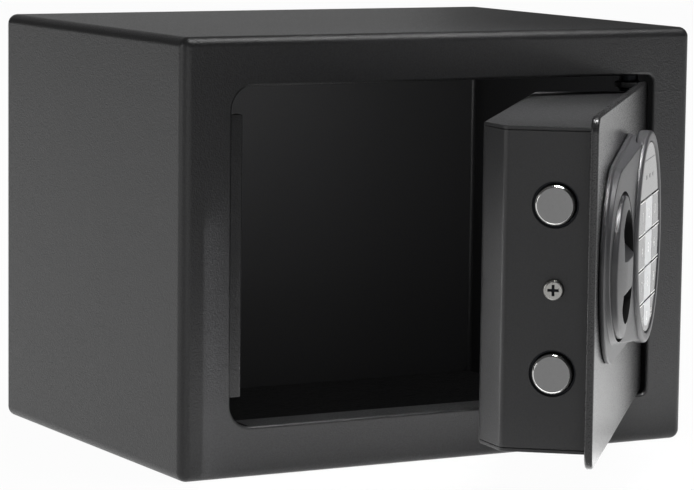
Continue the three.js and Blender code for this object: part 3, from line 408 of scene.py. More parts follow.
# The door's coat flows out smoother, so its flat face mirrors more. Blackening leaves steel dark and dull.
DOOR_COAT = powder_coat("door_powder_coat", "#1a1a1b", "#2a2a2b", 0.5, 0.02, (0.24, 0.34), 1.5)
BLACKENED_STEEL = metal("blackened_steel", ("#1d1e20", "#2a2b2e"), (0.4, 0.5), 0.4, 0.004, (1, 1, 6))
for end in ("upper", "lower"):
    rounded_copy(f"hinge_plate_{end}", f"welded_plate_{end}", 0.3, BODY_COAT, "safe")
    rounded_copy(f"hinge_lug_{end}", f"welded_lug_{end}", 0.3, DOOR_COAT, "door")
    rounded_copy(f"hinge_pin_{end}", f"turned_pin_{end}", 0.2, BLACKENED_STEEL, "door")

# Door plate. Three-millimetre steel, laser cut with round corners, its edges broken by tumbling and
# powder coated. It has clearance holes for the spindle, the ribbon and the panel's screws.
PLATE = (-92.8, 95.8, 21.0, 148.3)  # left, right, bottom, top on the shut door
PLATE_FRONT, PLATE_BACK = -84, -81
PLATE_MIDDLE = (PLATE[2] + PLATE[3]) / 2
KNOB_X, KNOB_Z = PLATE[0] + 43, PLATE_MIDDLE + 5.3
PAD_X, PAD_Z = PLATE[0] + 106, PLATE_MIDDLE + 9.2
PANEL_SCREWS = [(KNOB_X + 26, KNOB_Z - 21.5), (PAD_X, PAD_Z - 28)]
PLATE_CORNER, PLATE_EDGE = 6, 0.95
SPINDLE_HOLE, PANEL_HOLE = 3.4, 1.9
RIBBON, RIBBON_SLOT = (PAD_X + 17, PAD_Z + 16), (10.6, 2.1)
plate = block("steel_door", (PLATE[0], PLATE_FRONT, PLATE[2]), (PLATE[1], PLATE_BACK, PLATE[3]))
soften(plate, lambda edge: along(edge, 1), PLATE_CORNER, 12)
soften(plate, lambda edge: not along(edge, 1), PLATE_EDGE, 5)
carve(plate, rod("hole", SPINDLE_HOLE, 1, (KNOB_X, 0, KNOB_Z), PLATE_FRONT - CUT, PLATE_BACK + CUT, 48),
      *[rod("hole", PANEL_HOLE, 1, (x, 0, z), PLATE_FRONT - CUT, PLATE_BACK + CUT, 32)
        for x, z in PANEL_SCREWS],
      block("slot", (RIBBON[0] - RIBBON_SLOT[0] / 2, PLATE_FRONT - CUT, RIBBON[1] - RIBBON_SLOT[1] / 2),
            (RIBBON[0] + RIBBON_SLOT[0] / 2, PLATE_BACK + CUT, RIBBON[1] + RIBBON_SLOT[1] / 2)))
crisp(plate)
dress(swing(plate), DOOR_COAT, "door")
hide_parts("door_plate")

# Cover behind the door. One sheet folded to a shallow box with sloped corners: its sides fold up from
# the rear wall, so a seam shows where they meet the flaps above and below. Powder coated.
COVER = (-83.8, 90.2, 25.6, 143.7)  # left, right, bottom, top
COVER_FRONT, COVER_REAR, COVER_SIDE_END = -80.7, -39.3, -49.6
FACET = 16
HINGE_SIDE_END, HINGE_FACET = -70, 14
COVER_SHEET = 1.2
COVER_FOLD = 1.6
SEAM, SEAM_DEPTH = 0.35, 0.45
BOLT_Y = -68
BOLT_MIDDLE = PLATE_MIDDLE + 0.5
BOLT_HEIGHTS = (BOLT_MIDDLE + 30.5, BOLT_MIDDLE - 30.5)
BOLT_HOLE, SCREW_HOLE = 8.5, 2.2
COVER_SCREW_X = 65.2
COVER_SCREW_HEIGHTS = (PLATE_MIDDLE + 44, PLATE_MIDDLE - 44)
BATTERY_X, BATTERY_Z, BATTERY_W, BATTERY_H = 22.2, 58.65, 48.1, 57
RESET_X, RESET_Z, RESET_RADIUS, RESET_GAP = -33.8, 118.65, 3, 0.3


def slice_off(piece, point, normal):
    """Cuts away what lies beyond a plane, and closes the cut."""
    pick(piece, "VERT", lambda vert: True)
    bpy.ops.mesh.bisect(plane_co=[p * MM for p in point], plane_no=normal, use_fill=True, clear_outer=True)
    bpy.ops.object.mode_set(mode="OBJECT")


left, right_side, bottom, top = COVER


def cover_form(name, inset, front):
    """The solid shape of the cover, or of the room inside it, drawn in by an inset."""
    form = block(name, (left + inset, front, bottom + inset),
                 (right_side - inset, COVER_REAR - inset, top - inset))
    for x, y, slope, run in ((left, COVER_SIDE_END, COVER_SIDE_END - COVER_REAR, FACET),
                             (right_side, HINGE_SIDE_END, COVER_REAR - HINGE_SIDE_END, HINGE_FACET)):
        away = Vector((slope, run, 0)).normalized()
        slice_off(form, Vector((x, y, 0)) - away * inset, away)
    soften(form, lambda edge: along(edge, 2) and middle(edge).y > front + 1
           or along(edge, 0) and middle(edge).y > COVER_REAR - inset - 0.5, max(0.4, COVER_FOLD - inset), 5)
    return form


cover = cover_form("folded_cover", 0, COVER_FRONT)
carve(cover, cover_form("room", COVER_SHEET, COVER_FRONT - CUT))
for seam_low in (bottom + COVER_SHEET, top - COVER_SHEET - SEAM):
    for low_x, high_x in ((left - CUT, left + FACET - 1), (right_side - HINGE_FACET + 1, right_side + CUT)):
        gap = block("gap", (low_x, COVER_FRONT - CUT, seam_low), (high_x, COVER_REAR + CUT, seam_low + SEAM))
        carve(gap, cover_form("core", SEAM_DEPTH, COVER_FRONT - 2 * CUT))
        carve(cover, gap)
crisp(cover, 0.15, 2, 50)
carve(cover,
      *[rod("hole", BOLT_HOLE, 0, (0, BOLT_Y, z), left - CUT, left + CUT) for z in BOLT_HEIGHTS],
      rod("hole", SCREW_HOLE, 0, (0, BOLT_Y, BOLT_MIDDLE), left - CUT, left + CUT, 32),
      *[rod("hole", SCREW_HOLE, 1, (COVER_SCREW_X, 0, z), COVER_REAR - CUT, COVER_REAR + CUT, 32)
        for z in COVER_SCREW_HEIGHTS],
      rod("hole", RESET_RADIUS + RESET_GAP, 1, (RESET_X, 0, RESET_Z), COVER_REAR - CUT, COVER_REAR + CUT, 48),
      block("hole", (BATTERY_X - BATTERY_W / 2, COVER_REAR - CUT, BATTERY_Z - BATTERY_H / 2),
            (BATTERY_X + BATTERY_W / 2, COVER_REAR + CUT, BATTERY_Z + BATTERY_H / 2)))
crisp(cover, 0, 2, 50)
# The cover's coat: the same powder, a little paler and duller than on the door.
COVER_COAT = powder_coat("cover_powder_coat", "#1c1c1d", "#323233", 0.6, 0.07, (0.34, 0.48))
dress(swing(cover), COVER_COAT, "door")
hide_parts("mechanism_cover")

# Locking bolts. Zinc-plated steel bars with a chamfered end, faced on a lathe, and a turned-down root
# that is riveted into the carrier. The face is satin, and the chamfer is smooth and pale as a painted
# highlight.
BOLT_TIP, BOLT_RADIUS, BOLT_LENGTH, BOLT_CHAMFER = -85.8, 7.25, 29.7, 0.75
TENON_RADIUS, TENON_END = 4, 33.3
# Plated zinc is bright with soft patches. The lathe leaves the face duller, and the chamfer like a mirror,
# with a paler colour that is a painted highlight.
ZINC = metal("bright_zinc", ("#8e8d8a", "#a3a29f"), (0.26, 0.4), 0.8, 0.006)
FACED_STEEL = metal("faced_zinc", ("#747474", "#828282"), (0.3, 0.44), 1.6, 0.01)
CHAMFER_PAINTED_HIGHLIGHT = metal("polished_chamfer_painted_highlight", ("#d2d2d0", "#e0e0de"), (0.12, 0.2), 0.8, 0.002)
for name, z in zip(("upper", "lower"), BOLT_HEIGHTS):
    bolt = rod(f"plated_bolt_{name}", BOLT_RADIUS, 0, (0, BOLT_Y, z), BOLT_TIP, BOLT_TIP + BOLT_LENGTH)
    soften(bolt, lambda edge: abs(middle(edge).x - BOLT_TIP) < 0.01, BOLT_CHAMFER, 1)
    pick(bolt, "FACE", lambda face: middle(face).x > BOLT_TIP + BOLT_LENGTH - 0.01)
    bpy.ops.mesh.inset(thickness=(BOLT_RADIUS - TENON_RADIUS) * MM)
    bpy.ops.mesh.extrude_region_move(
        TRANSFORM_OT_translate={"value": ((TENON_END - BOLT_LENGTH) * MM, 0, 0)})
    bpy.ops.object.mode_set(mode="OBJECT")
    crisp(bolt, 0.12, 2, 30)
    dress(bolt, ZINC, "bolts")
    bolt.data.materials.append(FACED_STEEL)
    bolt.data.materials.append(CHAMFER_PAINTED_HIGHLIGHT)
    # Slots: the lathe-faced end, the chamfer with its painted highlight, and the plated rest.
    for face in bolt.data.polygons:
        depth_in = face.center.x / MM - BOLT_TIP
        face.material_index = 1 if depth_in < 0.05 else 2 if depth_in < BOLT_CHAMFER + 0.05 else 0
    swing(bolt)
    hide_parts(f"bolt_{name}")

# Screws. Zinc-plated pan heads with a cross recess, painted dark inside as painted shade, that hold the cover
# to the bracket and to the door. One is made and copied to each place.
SCREW_HEAD, SCREW_HEAD_HIGH, SCREW_SHANK, SCREW_LONG = 3.8, 1.9, 1.9, 7
SCREW_SEAT, SCREW_CROWN = 0.3, 1.1
RECESS, RECESS_ARM, RECESS_DEEP, RECESS_FLOOR_SHARE = 1.15, 4.6, 1.4, 0.75


def pan_screw(name):
    """A screw at the origin with its head towards +X."""
    head = rod(name, SCREW_HEAD, 0, (0, 0, 0), SCREW_SEAT, SCREW_SEAT + SCREW_HEAD_HIGH, 64)
    soften(head, lambda edge: abs(middle(edge).x - SCREW_SEAT - SCREW_HEAD_HIGH) < 0.01, SCREW_CROWN, 6)
    pick(head, "FACE", lambda face: middle(face).x < SCREW_SEAT + 0.01)
    bpy.ops.mesh.inset(thickness=(SCREW_HEAD - SCREW_SHANK) * MM)
    bpy.ops.mesh.extrude_region_move(
        TRANSFORM_OT_translate={"value": (-(SCREW_LONG + SCREW_SEAT) * MM, 0, 0)})
    bpy.ops.object.mode_set(mode="OBJECT")
    top = SCREW_SEAT + SCREW_HEAD_HIGH
    for arm in ((RECESS_ARM, RECESS), (RECESS, RECESS_ARM)):
        slot = block("slot", (top - RECESS_DEEP, -arm[0] / 2, -arm[1] / 2), (top + 1, arm[0] / 2, arm[1] / 2))
        pick(slot, "VERT", lambda vert: vert.co.x < (top - RECESS_DEEP + 0.1) * MM)
        bpy.ops.transform.resize(value=(1, RECESS_FLOOR_SHARE, RECESS_FLOOR_SHARE),
                                 center_override=((top - RECESS_DEEP) * MM, 0, 0))
        carve(head, slot)
    crisp(head, 0.08, 2, 35)
    return head


TOWARDS = {"side": Matrix.Rotation(math.pi, 4, "Z"), "rear": Matrix.Rotation(math.pi / 2, 4, "Z")}
SCREWS = [("side", "side", (COVER[0], BOLT_Y, BOLT_MIDDLE)),
          ("upper", "rear", (COVER_SCREW_X, COVER_REAR, COVER_SCREW_HEIGHTS[0])),
          ("lower", "rear", (COVER_SCREW_X, COVER_REAR, COVER_SCREW_HEIGHTS[1]))]
master = pan_screw("pan_screw")
HEAD_TOP = SCREW_SEAT + SCREW_HEAD_HIGH
recess_painted_shade = [int(HEAD_TOP - RECESS_DEEP - 0.1 < face.center.x / MM < HEAD_TOP - 0.15
                 and math.hypot(face.center.y, face.center.z) / MM < RECESS_ARM / 2 + 0.1)
             for face in master.data.polygons]
for name, way, place in SCREWS:
    screw = bpy.data.objects.new(f"pan_screw_{name}", master.data.copy())
    bpy.context.scene.collection.objects.link(screw)
    screw.data.name = screw.name
    screw.data.transform(Matrix.Translation([p * MM for p in place]) @ TOWARDS[way])
    dress(swing(screw), ZINC, "door")
    screw.data.materials.append(BLACKENED_STEEL)
    # The inside of the cross takes dark blackened steel as painted shade.
    screw.data.polygons.foreach_set("material_index", recess_painted_shade)
    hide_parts(f"cover_screw_{name}")
bpy.data.objects.remove(master)

# Bolt works behind the plate. Pressed steel bracket and carrier, a cam on the knob's square-ended
# spindle and two shouldered guide screws: bare steel, rolled or turned, and the bracket blackened.
# Bare rolled steel: grey, half bright, with faint marks drawn out along the sheet.
PRESSED_STEEL = metal("pressed_steel", ("#7c7f82", "#94979a"), (0.36, 0.5), 1.2, 0.006, (1, 1, 0.12))
WORKS = [("bolt_bracket", "guide_bracket", "door"), ("bolt_carrier", "sliding_carrier", "bolts"),
         ("cam", "driving_cam", "knob"), ("spindle", "knob_spindle", "knob"),
         ("guide_screw_upper", "shoulder_screw_upper", "door"),
         ("guide_screw_lower", "shoulder_screw_lower", "door")]
for node, name, body in WORKS:
    finish = BLACKENED_STEEL if node == "bolt_bracket" else PRESSED_STEEL
    rounded_copy(node, name, 0.2, finish, body)

# Solenoid that blocks the carrier. A folded frame, a coil of varnished copper wire wound on a bobbin,
# a plated plunger with a collar, and a wire spring that pushes it down.
WAVE = math.tau / 20  # how long one wave of the texture is at a scale of 1
COPPER_BAND = 2.199  # millimetres from ridge to ridge
# Enamelled copper wire: red-brown ridges round the coil, drawn coarser than its turns, under a clear gloss.
material, tree, surface, place = shader("varnished_copper_wire", Metallic=0.85, Coat_Weight=0.5)
wave = add(tree, "TexWave", {"Vector": place, "Scale": WAVE / (COPPER_BAND * MM), "Distortion": 0.2},
           bands_direction="Z")
tone = add(tree, "Mix", {0: wave.outputs[0], 6: linear("#6b3413"), 7: linear("#b8733a")}, data_type="RGBA")
tree.links.new(tone.outputs[2], surface.inputs["Base Color"])
bump = add(tree, "Bump", {"Height": wave.outputs[0], "Distance": 0.1 * MM})
tree.links.new(bump.outputs[0], surface.inputs["Normal"])
surface.inputs["Roughness"].default_value = 0.35
rounded_copy("solenoid_coil", "copper_coil", 0.1, material, "door")
rounded_copy("solenoid_frame", "solenoid_yoke", 0.2, PRESSED_STEEL, "door")
rounded_copy("solenoid_plunger", "solenoid_core", 0.2, ZINC, "plunger")
spring_low, spring_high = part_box("solenoid_spring")
SPRING_TURNS, SPRING_WIRE, SPRING_GAP = 5, 0.35, 0.1
spring_middle = (spring_low + spring_high) / 2
spring_radius = (spring_high.x - spring_low.x) / 2 - SPRING_GAP * MM - SPRING_WIRE * MM
only()
bpy.ops.mesh.primitive_circle_add(vertices=10, radius=SPRING_WIRE * MM, rotation=(math.pi / 2, 0, 0),
                                  location=(spring_radius, 0, 0))
spring = named("wire_spring")
rise = spring_high.z - spring_low.z - 2 * SPRING_WIRE * MM
apply(spring, "SCREW", axis="Z", screw_offset=rise / SPRING_TURNS, iterations=SPRING_TURNS, steps=28,
      use_merge_vertices=True)
pick(spring, "EDGE", lambda edge: edge.is_boundary)
bpy.ops.mesh.edge_face_add()
pick(spring, "FACE", lambda face: True)
bpy.ops.mesh.normals_make_consistent(inside=False)
bpy.ops.object.mode_set(mode="OBJECT")
spring.data.transform(Matrix.Translation((spring_middle.x, spring_middle.y,
                                          spring_low.z + SPRING_WIRE * MM)))
only(spring)
bpy.ops.object.shade_smooth_by_angle(angle=math.radians(60))
dress(spring, PRESSED_STEEL, "plunger")
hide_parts("solenoid_spring")

# Control board, its tray and the ribbon. Glass-epoxy board with a green mask stands on posts of a
# black moulded tray, and a grey ribbon comes through the door from the keypad.
TRACK_PITCH, RIBBON_BAND = 2.6, 7.98
# Moulded ABS has a fine dull skin. Solder mask is glossy green, with paler patches that stand for its
# tracks. The ribbon's PVC has broad bands of two greys, coarser than its wires and aslant to them.
material, tree, surface, place = shader("moulded_black_abs", IOR=1.5)
mottle(tree, surface, place, 0.35, ("#121213", "#1a1a1b"), (0.42, 0.55), 0.015)
BLACK_PLASTIC = material
material, tree, surface, place = shader("green_solder_mask", Coat_Weight=0.4, Coat_Roughness=0.2)
tracks = add(tree, "TexVoronoi", {"Vector": place, "Scale": 1 / (TRACK_PITCH * MM)}, distance="MANHATTAN")
tone = add(tree, "Mix", {0: tracks.outputs["Distance"], 6: linear("#1c6a3b"), 7: linear("#0d3f22")},
           data_type="RGBA")
tree.links.new(tone.outputs[2], surface.inputs["Base Color"])
surface.inputs["Roughness"].default_value = 0.4
SOLDER_MASK = material
material, tree, surface, place = shader("ribbed_grey_pvc")
bands = add(tree, "TexWave", {"Vector": place, "Scale": WAVE / (RIBBON_BAND * MM)}, bands_direction="X")
tone = add(tree, "Mix", {0: bands.outputs[0], 6: linear("#74777a"), 7: linear("#a6a9ac")}, data_type="RGBA")
tree.links.new(tone.outputs[2], surface.inputs["Base Color"])
surface.inputs["Roughness"].default_value = 0.5
rounded_copy("board_tray", "moulded_tray", 0.3, BLACK_PLASTIC, "door")
rounded_copy("control_board", "printed_board", 0.15, SOLDER_MASK, "door")
rounded_copy("keypad_board", "keypad_printed_board", 0.15, SOLDER_MASK, "door")
rounded_copy("keypad_cable", "ribbon_cable", 0.2, material, "door")

# Batteries in their box, with a sliding lid, and the reset button beside it. Moulded black plastic,
# shrink-wrapped cells with steel ends, and a red button that is pressed to set a new code.
CELL_RADIUS, CELL_LONG, CELL_PITCH, CELL_Y = 7.1, 50.5, 15, -48.2
NUB_RADIUS, NUB = 2.6, 1.0
# Shrink wrap: plain blue-grey film, tight and glossy.
material, tree, surface, place = shader("shrink_wrapped_cell", Coat_Weight=0.5, Coat_Roughness=0.15)
mottle(tree, surface, place, 6, ("#33424f", "#3f4f5c"), (0.3, 0.42), 0.02)
CELL_WRAP = material
for index in range(4):
    z = BATTERY_Z + (1.5 - index) * CELL_PITCH
    way = -1 if index % 2 else 1
    ends = sorted((-way * CELL_LONG / 2, way * (CELL_LONG / 2 - NUB)))
    cell = rod(f"wrapped_cell_{index + 1}", CELL_RADIUS, 0, (0, CELL_Y, z),
               BATTERY_X + ends[0], BATTERY_X + ends[1], 48)
    pick(cell, "FACE", lambda face: way * (middle(face).x - BATTERY_X) > CELL_LONG / 2 - NUB - 0.1)
    bpy.ops.mesh.inset(thickness=(CELL_RADIUS - NUB_RADIUS) * MM)
    bpy.ops.mesh.extrude_region_move(TRANSFORM_OT_translate={"value": (way * NUB * MM, 0, 0)})
    bpy.ops.object.mode_set(mode="OBJECT")
    crisp(cell, 0.3, 3, 35)
    dress(swing(cell), CELL_WRAP, "door")
    cell.data.materials.append(ZINC)
    for face in cell.data.polygons:
        local = SWING.inverted() @ face.center
        face.material_index = int(abs(local.x / MM - BATTERY_X) > CELL_LONG / 2 - NUB - 0.05)
    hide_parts(f"battery_{index + 1}")
rounded_copy("battery_box", "moulded_battery_box", 0.25, BLACK_PLASTIC, "door")
rounded_copy("battery_lid", "sliding_lid", 0.4, BLACK_PLASTIC, "battery_lid", 3)
rounded_copy("reset_switch", "switch_housing", 0.25, BLACK_PLASTIC, "door")
# Moulded red plastic: one strong colour, half gloss, so that it is found at once.
material, tree, surface, place = shader("red_moulded_button", IOR=1.5)
mottle(tree, surface, place, 0.5, ("#a8201c", "#bb2a24"), (0.35, 0.45), 0.01)
button_low, button_high = -47.6, -38.1
button = rod("red_button", RESET_RADIUS, 1, (RESET_X, 0, RESET_Z), button_low, button_high, 48)
crisp(button, 0.4, 3, 35)
dress(swing(button), material, "reset_button")
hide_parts("reset_button")

# Panel base on the front of the door. Dark grey ABS, moulded with a satin spark-eroded skin: a round
# skirt, a step, and a face that climbs to the keypad, with a well for the knob. Screwed from behind.
SIDES = 160
SKIRT = (8, 43, 31, 31.5)  # inset from the free edge, above, below, below at the keypad's end
FACE = (12, 41.6, 23.2, 30.6)
BOW, END_REACH, CLIMB_END = 46, 9, 6
SKIRT_HIGH, STEP_HIGH, FACE_HIGH, FACE_RISE = 2.0, 2.4, 3.6, 0.045
BASE_BEVEL = 0.7
CREASE, CREASE_RISE = 5.5, 0.25
KNOB_RADIUS, WELL_GAP, WELL_FLOOR = 26.8, 0.9, 1.4
PAD_A, PAD_B, PAD_PROUD = 35, 41, 9.4
PAD_TILT = math.radians(2.1)
PAD_SEAT = 0.08  # clearance between the base and the housing that stands in it
PAD_FLARE = [(6.5, 0.3), (5.2, 2.2), (4.2, 2.9), (3, 3.4), (1.6, 4.0), (0.6, 4.5), (0.15, 4.85), (0, 5.2)]


def band(ovals):
    """Points round the tight band about ovals, each (x, z, half width, half height)."""
    points = []
    for i in range(SIDES):
        c, s = math.cos(i / SIDES * math.tau), math.sin(i / SIDES * math.tau)
        x, z, a, b = max(ovals, key=lambda o: o[0] * c + o[1] * s + math.hypot(o[2] * c, o[3] * s))
        size = math.hypot(a * c, b * s)
        points.append((x + a * a * c / size, z + b * b * s / size))
    return points


def lofted(name, rings):
    """A closed skin: a filled circle set to the first ring, then extruded from ring to ring."""
    only()
    bpy.ops.mesh.primitive_circle_add(vertices=len(rings[0]), fill_type="NGON")
    piece = named(name)
    pick(piece, "FACE", lambda face: True)
    for number, ring in enumerate(rings):
        if number:
            bpy.ops.mesh.extrude_region_move()
        shape = bmesh.from_edit_mesh(piece.data)
        cap = next(face for face in shape.faces if face.select)
        for vert, point in zip(cap.verts, ring):
            vert.co = Vector(point) * MM
        bmesh.update_edit_mesh(piece.data)
    pick(piece, "FACE", lambda face: True)
    bpy.ops.mesh.normals_make_consistent(inside=False)
    bpy.ops.object.mode_set(mode="OBJECT")
    return piece


def base_ring(form, grow, high):
    """One outline of the base, grown by a width, at a height that may depend on x."""
    inset, above_middle, below, end = form
    top_end = above_middle + CLIMB_END
    ovals = [(PLATE[0] + BOW, PLATE_MIDDLE + (above_middle - below) / 2, BOW - inset + grow,
              (above_middle + below) / 2 + grow),
             (PAD_X, PLATE_MIDDLE + (top_end - end) / 2, END_REACH + grow, (top_end + end) / 2 + grow)]
    return [(x, PLATE_FRONT - high(x), z) for x, z in band(ovals)]


def pad_ring(inset, high=None, below=None):
    """One oval of the keypad's housing, at a height on the door or at a depth under the tilted rim."""
    return [(x, PLATE_FRONT - high if below is None
             else PLATE_FRONT - PAD_PROUD + below - (x - PAD_X) * math.tan(PAD_TILT), z)
            for x, z in band([(PAD_X, PAD_Z, PAD_A - inset, PAD_B - inset)])]


def climb(x):
    """How high the face of the base stands at a place along the door."""
    return FACE_HIGH + max(0, x - PLATE[0] - FACE[0]) * FACE_RISE


base = lofted("moulded_panel", [
    base_ring(SKIRT, -0.3, lambda x: 0.3),
    base_ring(SKIRT, 0, lambda x: 0.7),
    base_ring(SKIRT, 0, lambda x: SKIRT_HIGH - 0.4),
    base_ring(SKIRT, -0.12, lambda x: SKIRT_HIGH - 0.12),
    base_ring(SKIRT, -0.4, lambda x: SKIRT_HIGH),
    base_ring(FACE, BASE_BEVEL + 0.25, lambda x: STEP_HIGH - 0.1),
    base_ring(FACE, BASE_BEVEL, lambda x: STEP_HIGH + 0.1),
    base_ring(FACE, 0.3, lambda x: climb(x) - 0.3),
    base_ring(FACE, 0.1, lambda x: climb(x) - 0.08),
    base_ring(FACE, -0.25, climb),
    base_ring(FACE, -CREASE, lambda x: climb(x) + CREASE_RISE),
])
pad_space = lofted("pad_space", [pad_ring(inset - PAD_SEAT, high=high - PAD_SEAT)
                                 for inset, high in PAD_FLARE] + [pad_ring(-PAD_SEAT, high=PAD_PROUD * 2)])
carve(base, pad_space,
      rod("well", KNOB_RADIUS + WELL_GAP, 1, (KNOB_X, 0, KNOB_Z),
          PLATE_FRONT - 20, PLATE_FRONT - WELL_FLOOR, SIDES),
      rod("hole", SPINDLE_HOLE, 1, (KNOB_X, 0, KNOB_Z), PLATE_FRONT - CUT, PLATE_FRONT + CUT, 48),
      rod("hole", PANEL_HOLE, 1, (PANEL_SCREWS[0][0], 0, PANEL_SCREWS[0][1]),
          PLATE_FRONT - FACE_HIGH, PLATE_FRONT + 1, 32))
crisp(base, 0.2, 3, 45)
# ABS from a spark-eroded mould: dark grey with a fine even pebble that makes it satin.
material, tree, surface, place = shader("spark_eroded_abs", IOR=1.5)
mottle(tree, surface, place, 0.4, ("#313133", "#3a3a3c"), (0.34, 0.46), 0.012)
PANEL_ABS = material
dress(swing(base), PANEL_ABS, "door")
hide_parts("panel_base")
for side in ("left", "right"):
    rounded_copy(f"panel_screw_{side}", f"panel_fixing_{side}", 0.15, ZINC, "door")

# Knob. The same ABS, a shallow dome with two finger hollows and a bar between them to turn it by.
# Each hollow slopes up to the bar, and its floor and steep walls are painted near black as painted shade.
KNOB_BACK, KNOB_FLOOR, KNOB_TOP = 1.7, 2.9, 8.2
KNOB_PROFILE = [(26.4, KNOB_BACK), (KNOB_RADIUS, 2.1), (26.45, 5.5), (26.3, 5.8), (26.0, 6.05), (25.5, 6.2),
                (24.2, 6.4), (22, 6.8), (19, 7.25), (15, 7.7), (11.5, 8.0), (8, KNOB_TOP)]
GRIP_ABOVE, GRIP_BELOW, GRIP_SLOPE, GRIP_HALF, GRIP_RADIUS, GRIP_CORNER = 3, 8, 5, 15.5, 21, 1.6
SOCKET_RADIUS, SOCKET_END = 3.3, 2.3  # for the spindle, in the knob's back


def disc_ring(radius, high):
    """One circle of the knob, at a height on the door."""
    turns = [i / SIDES * math.tau for i in range(SIDES)]
    return [(KNOB_X + radius * math.cos(t), PLATE_FRONT - high, KNOB_Z + radius * math.sin(t)) for t in turns]


# Painted shade for the hollows: rough and near black, so that they stay dark from any side, as shade makes
# them.
material, tree, surface, place = shader("painted_shade_hollows", IOR=1.35)
mottle(tree, surface, place, 0.4, ("#050506", "#0c0c0d"), (0.7, 0.85), 0.012)
knob = lofted("turning_knob", [disc_ring(radius, high) for radius, high in KNOB_PROFILE])
for sign, start in ((1, GRIP_ABOVE), (-1, GRIP_BELOW)):
    hollow = rod("hollow", GRIP_RADIUS, 1, (KNOB_X, 0, KNOB_Z),
                 PLATE_FRONT - 14, PLATE_FRONT - KNOB_FLOOR, 128)
    for side in (-1, 1):
        slice_off(hollow, (KNOB_X + side * GRIP_HALF, 0, 0), (side, 0, 0))
    steep = KNOB_TOP - KNOB_FLOOR
    slice_off(hollow, (0, PLATE_FRONT - KNOB_TOP, KNOB_Z + sign * start), (0, GRIP_SLOPE, -sign * steep))
    soften(hollow, lambda edge: along(edge, 1) and edge.calc_face_angle(0) > 0.5, GRIP_CORNER, 5)
    carve(knob, hollow)
carve(knob, rod("hole", SOCKET_RADIUS, 1, (KNOB_X, 0, KNOB_Z), PLATE_FRONT - SOCKET_END, PLATE_FRONT, 48))
crisp(knob, 0.35, 3, 35)
dress(knob, PANEL_ABS, "knob")
knob.data.materials.append(material)
# Faces on the floors and steep walls of the hollows take the painted shade.
for face in knob.data.polygons:
    x, y, z = face.center / MM
    inside = math.hypot(x - KNOB_X, z - KNOB_Z) < GRIP_RADIUS + 0.2 and PLATE_FRONT - y > KNOB_FLOOR - 0.1
    wall_or_floor = abs(face.normal.y) < 0.5 or PLATE_FRONT - y < KNOB_FLOOR + 0.6
    up_to_bar = face.normal.z * (z - KNOB_Z) > 0.3 * abs(z - KNOB_Z)
    face.material_index = int(inside and wall_or_floor and not up_to_bar)
swing(knob)
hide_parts("knob")

# Keypad housing. An oval pod of the same ABS that stands on the base, tilted to the user, with a
# rounded rim about a shallow well for the keys.
RIM, WELL_DEEP = 4, 4.4
housing = lofted("oval_housing", [pad_ring(inset, high=high) for inset, high in PAD_FLARE]
                 + [pad_ring(0, below=1.2), pad_ring(0.1, below=0.75), pad_ring(0.4, below=0.3),
                    pad_ring(0.9, below=0.06), pad_ring(1.5, below=0), pad_ring(2.9, below=0.02),
                    pad_ring(3.5, below=0.12), pad_ring(3.85, below=0.35), pad_ring(RIM, below=0.7),
                    pad_ring(RIM, below=WELL_DEEP)])
crisp(housing, 0, 2, 40)
dress(swing(housing), PANEL_ABS, "door")
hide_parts("keypad_housing")

# Keys, window and lamps. A printed film over rubber keys, cut from one oval sheet: black at the sides
# and pale grey down the middle, with white figures, rules between the rows and a dark lamp window.
KEY_TOP, KEY_THICK, KEY_PITCH, KEY_COLUMN, KEY_GAP = 0.5, 1.6, 13.3, 20.5, 0.6
FIRST_ROW = 15.7
PLAY = 0.4
INK, RULE = 0.04, 0.5
FIGURE_SIZE = 5.2
WINDOW_THICK = 0.8
RULE_ABOVE = 14.5
TILTED = (Matrix.Translation(Vector((PAD_X, PLATE_FRONT - PAD_PROUD, PAD_Z)) * MM)
          @ Matrix.Rotation(-PAD_TILT, 4, "Z"))


def cell(name, x, z, top, bottom, inset=0.0):
    """A piece of the oval sheet between two x and two z, from its face to its back."""
    a, b = PAD_A - RIM - PLAY - inset, PAD_B - RIM - PLAY - inset
    outline = band([(0, 0, a, b)])
    piece = lofted(name, [[(u, y, v) for u, v in outline] for y in (bottom, top)])
    for point, normal in (((x[0], 0, 0), (-1, 0, 0)), ((x[1], 0, 0), (1, 0, 0)),
                          ((0, 0, z[0]), (0, 0, -1)), ((0, 0, z[1]), (0, 0, 1))):
        slice_off(piece, point, normal)
    return piece


def figure(text, x, z, size, proud):
    """A printed figure, standing on the film by the thickness of its ink."""
    only()
    bpy.ops.object.text_add(rotation=(math.pi / 2, 0, 0))
    writing = bpy.context.object
    writing.data.body = text
    writing.data.size = size * MM
    writing.data.align_x = "CENTER"
    writing.data.align_y = "CENTER"
    writing.data.extrude = INK / 2 * MM
    writing.location = (x * MM, proud * MM, z * MM)
    bpy.ops.object.convert(target="MESH")
    shape = named("figure")
    pick(shape, "VERT", lambda vert: True)
    bpy.ops.mesh.remove_doubles(threshold=0.001 * MM)
    bpy.ops.object.mode_set(mode="OBJECT")
    return shape


def printed(piece, film, parts, colours):
    """Joins printed parts to a piece, each in its own colour."""
    piece.data.materials.clear()
    for colour in [film, *colours]:
        piece.data.materials.append(colour)
    for part, colour in parts:
        part.data.materials.clear()
        for slot_colour in piece.data.materials:
            part.data.materials.append(slot_colour)
        for face in part.data.polygons:
            face.material_index = piece.data.materials.find(colour.name)
    only(piece)
    for part, colour in parts:
        part.select_set(True)
    bpy.ops.object.join()
    return piece


def film(name, colours, roughness):
    """Printed polyester over rubber: smooth, with a faint pebble that breaks its gloss."""
    material, tree, surface, place = shader(name, IOR=1.5)
    mottle(tree, surface, place, 0.5, colours, roughness, 0.006)
    return material


